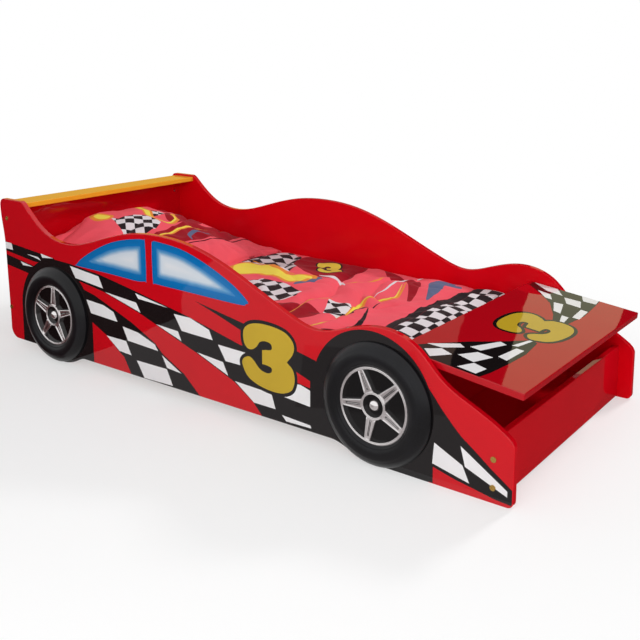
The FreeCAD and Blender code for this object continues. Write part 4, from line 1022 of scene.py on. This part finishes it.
# Motifs in mm along and across the bed.
DUVET_YELLOW = [
    smooth([(596, 60), (598, 112), (662, 122), (748, 90), (845, 55), (884, 94), (906, 36),
            (892, -12), (817, 14), (728, 26), (660, 2)]),
    ribbon([(1176, -280), (1184, -215), (1166, -103), (1137, -3), (1171, 35), (1192, 64),
            (1159, 170)], (2, 5, 6, 5, 3, 1)),
    ribbon([(620, -330), (700, -290), (800, -300), (900, -250)], (3, 9, 11, 2)),
]
DUVET_ORANGE = [
    smooth([(590, 48), (592, 122), (664, 133), (750, 101), (836, 72), (888, 112), (920, 36),
            (900, -26), (817, 2), (728, 14), (652, -12)]),
    ribbon([(597, 150), (663, 141), (761, 98), (830, 80)], (3, 5, 4, 2)),
    ribbon([(1170, -300), (1188, -215), (1170, -103), (1141, -3), (1176, 35), (1198, 64),
            (1162, 190)], (3, 11, 13, 11, 7, 1)),
    ribbon([(1052, -250), (1046, -122), (1070, -50)], (2, 5, 1)),
    ribbon([(600, -345), (700, -300), (810, -312), (930, -240)], (5, 18, 21, 3)),
    ribbon([(1010, 60), (1060, 150), (1050, 250)], (1, 5, 2)),
]
DUVET_RED = [
    smooth([(712, 225), (706, 300), (770, 360), (860, 380), (930, 350), (955, 250), (972, 165),
            (925, 118), (850, 112), (765, 165)]),
    smooth([(985, -300), (1090, -250), (1120, -180), (1060, -150), (960, -190), (930, -260)]),
    ribbon([(1000, 330), (1090, 260), (1180, 200), (1250, 60)], (4, 26, 22, 3)),
]
DUVET_BLACK = [
    ribbon([(1210, -300), (1245, -247), (1251, -176), (1200, -66)], (1, 8, 7, 1)),
    ribbon([(1090, -190), (1150, -150), (1190, -80), (1196, 0)], (1, 5, 4, 1)),
]
DUVET_PALE = [
    ribbon([(1139, 40), (1133, 155), (1128, 266), (1162, 370)], (1, 4, 5, 4)),
    ribbon([(884, 128), (930, 138), (975, 118), (1030, 60)], (3, 12, 8, 1)),
    ribbon([(700, -40), (790, -66), (880, -60)], (1, 4, 1)),
]
DUVET_SLATE = [
    smooth([(925, -34), (900, 40), (896, 108), (930, 86), (946, 24)]),
    ribbon([(1172, 350), (1195, 372), (1240, 352), (1250, 300)], (12, 14, 14, 8)),
    ribbon([(1290, 96), (1262, 180), (1232, 262), (1286, 300)], (3, 18, 26, 12)),
    ribbon([(1228, 240), (1222, 300), (1262, 340)], (12, 14, 8)),
    ribbon([(640, -180), (720, -230), (820, -225)], (2, 14, 3)),
]
DUVET_CHECKS = [
    [(552, 112), (552, 262), (620, 335), (690, 296), (764, 196), (782, 96), (650, 138)],
    [(768, -62), (788, -18), (872, -30), (975, -60), (992, -110), (945, -168), (850, -150)],
    [(560, -260), (600, -180), (700, -150), (690, -240)],
    [(1068, -66), (1128, -50), (1198, -130), (1178, -172), (1116, -160)],
]
PILLOW_ORANGE = [
    smooth([(120, -126), (118, -96), (138, -74), (178, -72), (194, -100), (180, -130), (150, -136)]),
    ribbon([(92, 40), (128, 74), (190, 60), (262, 24), (318, 46), (300, 100), (244, 130),
            (200, 214)], (4, 14, 17, 13, 11, 9, 8, 2)),
    ribbon([(392, -120), (386, -38), (370, 67), (372, 160), (366, 250)], (2, 7, 8, 6, 1)),
]
PILLOW_YELLOW = [
    smooth([(132, -118), (130, -98), (146, -84), (172, -82), (182, -100), (172, -120), (150, -124)]),
    ribbon([(98, 44), (128, 72), (190, 58), (262, 22), (312, 46), (296, 96), (244, 124)],
           (1, 7, 9, 7, 5, 4, 1)),
    ribbon([(390, -100), (384, -38), (368, 67), (370, 160)], (1, 3, 4, 1)),
]
PILLOW_RED = [
    smooth([(212, 132), (216, 236), (262, 252), (318, 180), (330, 84), (290, 66)]),
    smooth([(376, -90), (352, 20), (326, 130), (318, 250), (352, 338), (424, 330), (452, 190),
            (456, 20), (440, -60)]),
    smooth([(90, 180), (130, 260), (190, 300), (230, 280), (180, 210)]),
    smooth([(300, -310), (380, -290), (430, -200), (400, -150), (320, -220)]),
]
PILLOW_SLATE = [
    ribbon([(452, 20), (424, 36), (404, 88), (444, 128)], (2, 7, 9, 2)),
    smooth([(350, 286), (330, 340), (398, 338), (424, 286), (396, 262)]),
    ribbon([(60, -60), (80, 20), (70, 90)], (2, 10, 2)),
]
PILLOW_BLACK = [ribbon([(186, 120), (226, 196), (212, 268)], (2, 9, 3))]
PILLOW_PALE = [ribbon([(366, 290), (384, 318), (404, 300)], (1, 5, 1))]
PILLOW_CHECKS = [
    [(186, -92), (216, -84), (214, -14), (270, 6), (318, 8), (342, -34), (344, -92), (306, -134)],
    [(180, 52), (196, 116), (244, 106), (248, 40)],
    [(240, 250), (250, 320), (310, 330), (300, 262)],
]
RACE_DIGIT = (0.46, 0.85)  # size of the numeral on the duvet, against the one on the side
DIGIT_PLACE, DIGIT_TURN = (846, 236), 37  # its middle, and degrees
DIGIT_RIM = 6.0  # mm of black round it


def digit_outline(centre, wide, tall, turn):
    """The race number as a print on cloth, turned by degrees."""
    c, s = math.cos(math.radians(turn)), math.sin(math.radians(turn))
    return [
        (centre[0] + x * wide * c - y * tall * s, centre[1] + x * wide * s + y * tall * c)
        for x, y in smooth(NUMERAL, NUMERAL_CORNERS)
    ]


PRINT_INKS = (
    ("red_ink", DEEP_RED), ("slate_ink", SLATE), ("orange_ink", ORANGE), ("yellow_ink", YELLOW),
    ("black_ink", BLACK_DYE), ("pale_ink", PALE),
)


PILLOW_LIFT, DUVET_LIFT = (-14.0, 6.0), (-18.0, 9.0)  # mm, the deepest and highest of the folds
# Creases: depth and reach in mm, and the line, along and across the bed.
PILLOW_CREASES = [
    (5.0, 22, [(90, 60), (150, 190), (170, 330)]), (4.5, 24, [(60, -40), (110, -170), (150, -320)]),
    (4.0, 20, [(300, 330), (360, 230), (352, 120)]), (3.0, 14, [(480, 60), (540, 20), (575, -60)]),
    (3.5, 13, [(476, 190), (530, 235), (572, 240)]),
    (5.0, 26, [(250, -300), (300, -160), (280, -20)]),
    (5.0, 24, [(120, 330), (240, 210), (300, 120)]),
    (4.0, 13, [(474, -60), (530, -110), (580, -100)]),
    (4.0, 12, [(474, 110), (520, 120), (578, 150)]),
]
DUVET_CREASES = [
    (6.0, 30, [(930, 330), (960, 150), (1040, 0), (1010, -160)]),
    (6.0, 26, [(1080, 90), (1160, -60), (1180, -250)]),
    (5.0, 22, [(1290, 40), (1210, -40), (1150, -30)]),
    (5.0, 26, [(700, -60), (820, -120), (960, -260)]),
    (4.0, 20, [(1310, 250), (1220, 180), (1140, 220)]),
    (4.0, 22, [(820, 60), (900, 10), (1010, 40)]), (6.0, 30, [(640, 330), (700, 180), (820, 80)]),
    (6.0, 28, [(1130, 330), (1080, 200), (1120, 60), (1220, 0)]),
    (5.0, 24, [(1010, -330), (1050, -200), (1020, -90)]),
    (5.0, 26, [(620, -320), (680, -200), (660, -90)]),
]


def creases(x, y, table):
    return sum(depth * fold(x, y, line, reach) for depth, reach, line in table)


def pillow_seam(y):
    """Where the seam between printed top and plain front lies along the bed, in mm."""
    return PILLOW_SEAM + 5 * np.sin(y / 120) - 10 * (np.abs(y) / 340) ** 3


def make_pillow():
    """The pillow: filled, gathered at its front seam, creased and printed."""
    made, x, y, normal = filled(pillow_shape(), *PILLOW_FILL)
    above = normal[:, 2] > 0.05
    seam = pillow_seam(y)
    near_seam = np.abs(x - seam)
    gather = (0.6 - np.abs(waves(x * 0.15, y, 3, 46.0, 4))) * np.exp(-near_seam / 50.0)
    gather *= 1 - np.exp(-((near_seam / 16.0) ** 2))
    soft = waves(x, y, 5, 190.0) * 4.5 - np.abs(waves(x, y, 6, 150.0)) * 5.0
    lift = soft + 8.0 * gather - 1.5 * creases(x, y, PILLOW_CREASES)
    lift = np.where(above, lift * np.clip(normal[:, 2] * 3, 0, 1), 0)
    swell(made, normal, lift, *PILLOW_LIFT)
    inks = {
        "red_ink": PILLOW_RED, "slate_ink": PILLOW_SLATE, "orange_ink": PILLOW_ORANGE,
        "yellow_ink": PILLOW_YELLOW, "black_ink": PILLOW_BLACK, "pale_ink": PILLOW_PALE,
        "check_ink": PILLOW_CHECKS,
    }
    write_inks(made, np.stack([x, y], 1), inks, ~above | (x > seam - 2))
    made.data.materials.append(
        cotton("pillow_cotton", CORAL, PRINT_INKS, (("check_ink", 29.0, 38.0),)))
    return made


CORD_REACH, CORD_STEPS = 318, 160  # mm from the middle that the piping goes, and its points
CORD = (2.0, 2.2)  # its half width and height in mm
CORD_EVEN = 4  # points to each side over which its height is evened out


def pillow_cord(cover):
    """Dark piping that lies in the pillow's front seam, from one side to the other."""
    bm = bmesh.new()
    bm.from_mesh(cover.data)
    surface = BVHTree.FromBMesh(bm)
    bm.free()
    spots = []
    for y in np.linspace(-CORD_REACH, CORD_REACH, CORD_STEPS):
        point = surface.ray_cast(bed(pillow_seam(y), y, 450), Vector((0, 0, -1)))[0]
        if point is not None:
            spots.append(tuple(point))
    spots = np.array(spots)
    spots[CORD_EVEN:-CORD_EVEN, 2] = np.convolve(
        spots[:, 2], np.ones(2 * CORD_EVEN + 1) / (2 * CORD_EVEN + 1), "valid")
    line = [Vector(spot) for spot in spots]
    across, up = Vector((0.001, 0, 0)), Vector((0, 0, 0.001))
    bm = bmesh.new()
    rounded_sweep(bm, line, [across] * len(line), up, *CORD)
    trim_piece(bm, "pillow_cord", cotton("cord_cotton", rgb(84, 14, 28), pitch=0.0012))


def make_duvet():
    """The duvet: filled, wrinkled and printed, with a chequered hem at its foot."""
    made, x, y, normal = filled(duvet_shape(), *DUVET_FILL)
    above = normal[:, 2] > 0.1
    inner = np.clip((345 - np.abs(y)) / 60, 0, 1) * np.clip((x - 600) / 60, 0, 1)
    soft = waves(x, y * 0.8, 11, 280.0) * 5.5 - np.abs(waves(x, y, 12, 240.0)) * 7.0
    soft -= np.abs(waves(x, y, 13, 110.0)) * 2.4
    hem = np.exp(-((x - HEM_START) / 5.0) ** 2) * 3.0 + np.exp(-((x - HEM_CHECKS) / 3.0) ** 2) * 1.2
    hem += np.abs(waves(x * 0.1, y, 14, 60.0)) * 1.6 * np.exp(-np.abs(x - HEM_START) / 30)
    lift = (soft - 1.5 * creases(x, y, DUVET_CREASES)) * inner - hem
    swell(made, normal, np.where(above, lift, 0), *DUVET_LIFT)
    flat = np.stack([x + waves(x, y, 21, 300.0) * 3.0, y], 1)
    number = [digit_outline(DIGIT_PLACE, *RACE_DIGIT, DIGIT_TURN)]
    inks = {
        "red_ink": DUVET_RED, "slate_ink": DUVET_SLATE, "orange_ink": DUVET_ORANGE,
        "yellow_ink": DUVET_YELLOW, "black_ink": DUVET_BLACK, "pale_ink": DUVET_PALE,
        "check_ink": DUVET_CHECKS, "digit_ink": number,
        "band_ink": [[(HEM_START, -400), (HEM_CHECKS, -400), (HEM_CHECKS, 400), (HEM_START, 400)]],
        "hem_ink": [[(HEM_CHECKS, -400), (1500, -400), (1500, 400), (HEM_CHECKS, 400)]],
    }
    write_inks(made, flat, inks, ~above)
    rim = signed_distance(flat, number) + DIGIT_RIM
    write_attribute(made.data, "digit_rim", np.where(above, rim, NO_INK))
    made.data.materials.append(cotton(
        "duvet_cotton", CORAL, PRINT_INKS + (
            ("digit_rim", BLACK_DYE), ("digit_ink", YELLOW), ("band_ink", BLACK_DYE)),
        (("check_ink", 40.0, 33.0), ("hem_ink", HEM_CELL, 0.0)),
    ))
    return made


pillow = make_pillow()
pillow_cord(pillow)
duvet = make_duvet()
for piece, node, fill in ((pillow, "pillow", 0.75), (duvet, "duvet", 0.5)):
    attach(piece, "bed")
    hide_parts(node)


MATTRESS_CORNER = 30  # mm, the radius of its corners seen from above
# Height from 0 to 100 and inset in mm: pipings at both rims and a slightly hollow side.
MATTRESS_LEVELS = [(0, 9), (3, 3), (8, 0.8), (14, 0.2), (20, 2.2), (32, 3.0), (50, 3.4), (68, 3.0),
                   (80, 2.2), (86, 0.2), (92, 0.8), (97, 3), (100, 9)]


def mattress_shape():
    """The mattress's cover, with rounded corners and piped rims."""
    start, length, half, base = soft_span(MATTRESS_LOW, MATTRESS_HIGH)
    height = (MATTRESS_HIGH.z - MATTRESS_LOW.z) * 1000
    ends = start + MATTRESS_CORNER, start + length - MATTRESS_CORNER
    sides = -half + MATTRESS_CORNER, half - MATTRESS_CORNER
    bm = bmesh.new()
    rings = []
    for z, inset in MATTRESS_LEVELS:
        loop = []
        for cx, cy, first in ((1, 1, 0), (0, 1, 90), (0, 0, 180), (1, 0, 270)):
            for a in np.radians(np.linspace(first, first + 90, 10)):
                r = MATTRESS_CORNER - inset
                x, y = ends[cx] + r * math.cos(a), sides[cy] + r * math.sin(a)
                loop.append(bm.verts.new(bed(x, y, base + z * height / 100)))
        rings.append(loop)
    for a, b in zip(rings, rings[1:]):
        for i in range(len(a)):
            j = (i + 1) % len(a)
            bm.faces.new((a[i], a[j], b[j], b[i]))
    bm.faces.new(rings[-1])
    bm.faces.new(list(reversed(rings[0])))
    mesh = bpy.data.meshes.new("mattress_cover")
    bm.to_mesh(mesh)
    bm.free()
    return add_object("mattress_cover", mesh)


mattress = mattress_shape()
mattress.data.materials.append(cotton("mattress_cotton", rgb(222, 221, 214), pitch=0.0014, sheen=0.15))
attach(mattress, "bed")
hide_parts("mattress")


# -------------------- floor, lights, camera


def stage_plane(name, corners, material):
    """A flat polygon beside the part."""
    mesh = bpy.data.meshes.new(name)
    mesh.from_pydata(corners, [], [tuple(range(len(corners)))])
    mesh.materials.append(material)
    made = add_object(name, mesh)
    return made


FLOOR_FADE = (1.0, 1.9)  # metres from the middle where the floor passes into the backdrop
FLOOR_GLOW = 0.5  # how white the floor is before it fades, as a share
FLOOR_REACH = 30


def floor_paper():
    """White studio paper with a faint tooth, which far out is as white as the backdrop."""
    s = Shader("floor_paper")
    paper = s.add("BsdfPrincipled", {
        "Base Color": s.tint(rgb(252, 252, 252), s.noise(3.0, 3.0), 0.99, 1.0), "Roughness": 0.9,
        "Specular IOR Level": 0.1, "Normal": s.bump(s.noise(400.0), 0.0001),
    }).outputs[0]
    white = s.add("Emission", {"Color": (1, 1, 1, 1), "Strength": 1.0}).outputs[0]
    away = s.add("MapRange", {
        "Value": s.vector("LENGTH", s.object_co)["Value"], "From Min": FLOOR_FADE[0],
        "From Max": FLOOR_FADE[1],
    }, interpolation_type="SMOOTHSTEP").outputs[0]
    glow = s.math("ADD", s.math("MULTIPLY", away, 1 - FLOOR_GLOW), FLOOR_GLOW)
    share = s.math("MULTIPLY", s.seen(), glow)
    blend = s.add("MixShader", {0: share, 1: paper, 2: white}).outputs[0]
    s.add("OutputMaterial", {"Surface": blend})
    return s.owner


FLOOR = [(x * FLOOR_REACH, y * FLOOR_REACH, 0) for x, y in ((-1, -1), (1, -1), (1, 1), (-1, 1))]
stage_plane("floor", FLOOR, floor_paper())


def card(name, shade, corners):
    """A studio flag or reflector: only gloss sees it."""
    s = Shader(name)
    glow = s.add("Emission", {"Color": shade + (1.0,), "Strength": 1.0}).outputs[0]
    s.add("OutputMaterial", {"Surface": glow})
    made = stage_plane(name, [bed(*corner) for corner in corners], s.owner)
    made.visible_camera = made.visible_diffuse = made.visible_shadow = False
    made.visible_transmission = made.visible_volume_scatter = False


DARK = (0.012, 0.008, 0.008)
DIM = (0.13, 0.06, 0.06)
BACK_WALL, WALL_FOOT, WALL_TOP = 2500.0, 30.0, 3600.0
WALL_CARDS = [  # name, start and end along the bed, shade
    ("bright_wall", -9000.0, -1500.0, (0.85, 0.56, 0.12)),
    ("warm_wall", -1500.0, 400.0, (0.30, 0.20, 0.16)), ("dark_wall", 400.0, 728.0, DARK),
    ("warm_card", 728.0, 1232.0, (0.62, 0.62, 0.40)), ("end_wall", 1232.0, 5200.0, DARK),
]
FLOOR_CARDS = [  # name, height, shade, corners
    ("dark_floor", 2, (0.10, 0.05, 0.05), [
        (302, -405), (302, -540), (267, -724), (241, -933), (-13, -1178), (-900, -2600),
        (-6000, -2600), (-6000, -405)]),
    ("front_floor", 1, (0.52, 0.49, 0.49), [
        (4000, -405), (200, -405), (-100, -700), (-900, -2600), (4000, -2600)]),
    ("dark_patch", 2, (0.35, 0.32, 0.32), [
        (1080, -530), (784, -949), (1100, -1100), (1427, -719)]),
    ("dim_floor", 2, DIM, [
        (1785, -420), (1785, 420), (1300, 460), (1300, 3000), (6000, 3000), (6000, -420)]),
    ("dim_gap", 2, DIM, [(1738, -362), (1785, -362), (1785, 420), (1738, 420)]),
]
for card_name, low_x, high_x, shade in WALL_CARDS:
    card(card_name, shade, [
        (low_x, BACK_WALL, WALL_FOOT), (high_x, BACK_WALL, WALL_FOOT),
        (high_x, BACK_WALL, WALL_TOP), (low_x, BACK_WALL, WALL_TOP)])
for card_name, level, shade, corners in FLOOR_CARDS:
    card(card_name, shade, [(*corner, level) for corner in corners])


def aim(made, place, direction):
    """Puts a lamp or camera at place, looking along direction."""
    made.location = place
    made.rotation_mode = "QUATERNION"
    made.rotation_quaternion = direction.to_track_quat("-Z", "Y")


LAMPS = [  # name, place, target, size in metres, power in watts
    ("top_softbox", (0.6, -0.6, 3.4), (0, 0, 0.2), (3.0, 3.0), 11.0),
    ("front_softbox", (3.4, -2.4, 1.9), (0.3, 0, 0.3), (2.0, 1.6), 30.0),
    ("side_softbox", (1.0, -2.5, 1.3), (0.4, 0, 0.2), (1.8, 1.4), 22.0),
    ("key_softbox", (1.3, 3.1, 2.5), (0.1, 0, 0.25), (0.6, 0.6), 66.0),
]
for lamp_name, place, target, size, power in LAMPS:
    light = bpy.data.lights.new(lamp_name, "AREA")
    light.shape = "RECTANGLE"
    light.size, light.size_y = size
    light.energy = power
    lamp = add_object(lamp_name, light)
    aim(lamp, place, Vector(target) - Vector(place))
    lamp.visible_glossy = False

SKY_LIGHT, SKY_SEEN = 0.41, 1.0  # strength of the white backdrop as a light and as it is seen
sky = Shader("studio", "worlds")
lit, plain = (
    sky.add("Background", {"Color": (1, 1, 1, 1), "Strength": strength}).outputs[0]
    for strength in (SKY_LIGHT, SKY_SEEN)
)
blend = sky.add("MixShader", {0: sky.seen(), 1: lit, 2: plain}).outputs[0]
sky.add("OutputWorld", {"Surface": blend})
bpy.context.scene.world = sky.owner

CAMERA_PLACE = (2496, -1996, 941)  # bed coordinates
CAMERA_TURN = math.radians(37.08)  # from straight across the bed towards the tail
CAMERA_FALL = math.radians(8.99)  # below the horizon
CAMERA_LENS, SENSOR, SHIFT_Y = 50.19, 36.0, -0.2
lens = bpy.data.cameras.new("camera")
lens.lens, lens.sensor_width, lens.shift_y = CAMERA_LENS, SENSOR, SHIFT_Y
camera = add_object("camera", lens)
aim(camera, bed(*CAMERA_PLACE), Vector((
    -math.sin(CAMERA_TURN) * math.cos(CAMERA_FALL),
    math.cos(CAMERA_TURN) * math.cos(CAMERA_FALL),
    -math.sin(CAMERA_FALL),
)))
bpy.context.scene.camera = camera
bpy.context.scene.view_settings.view_transform = "Standard"
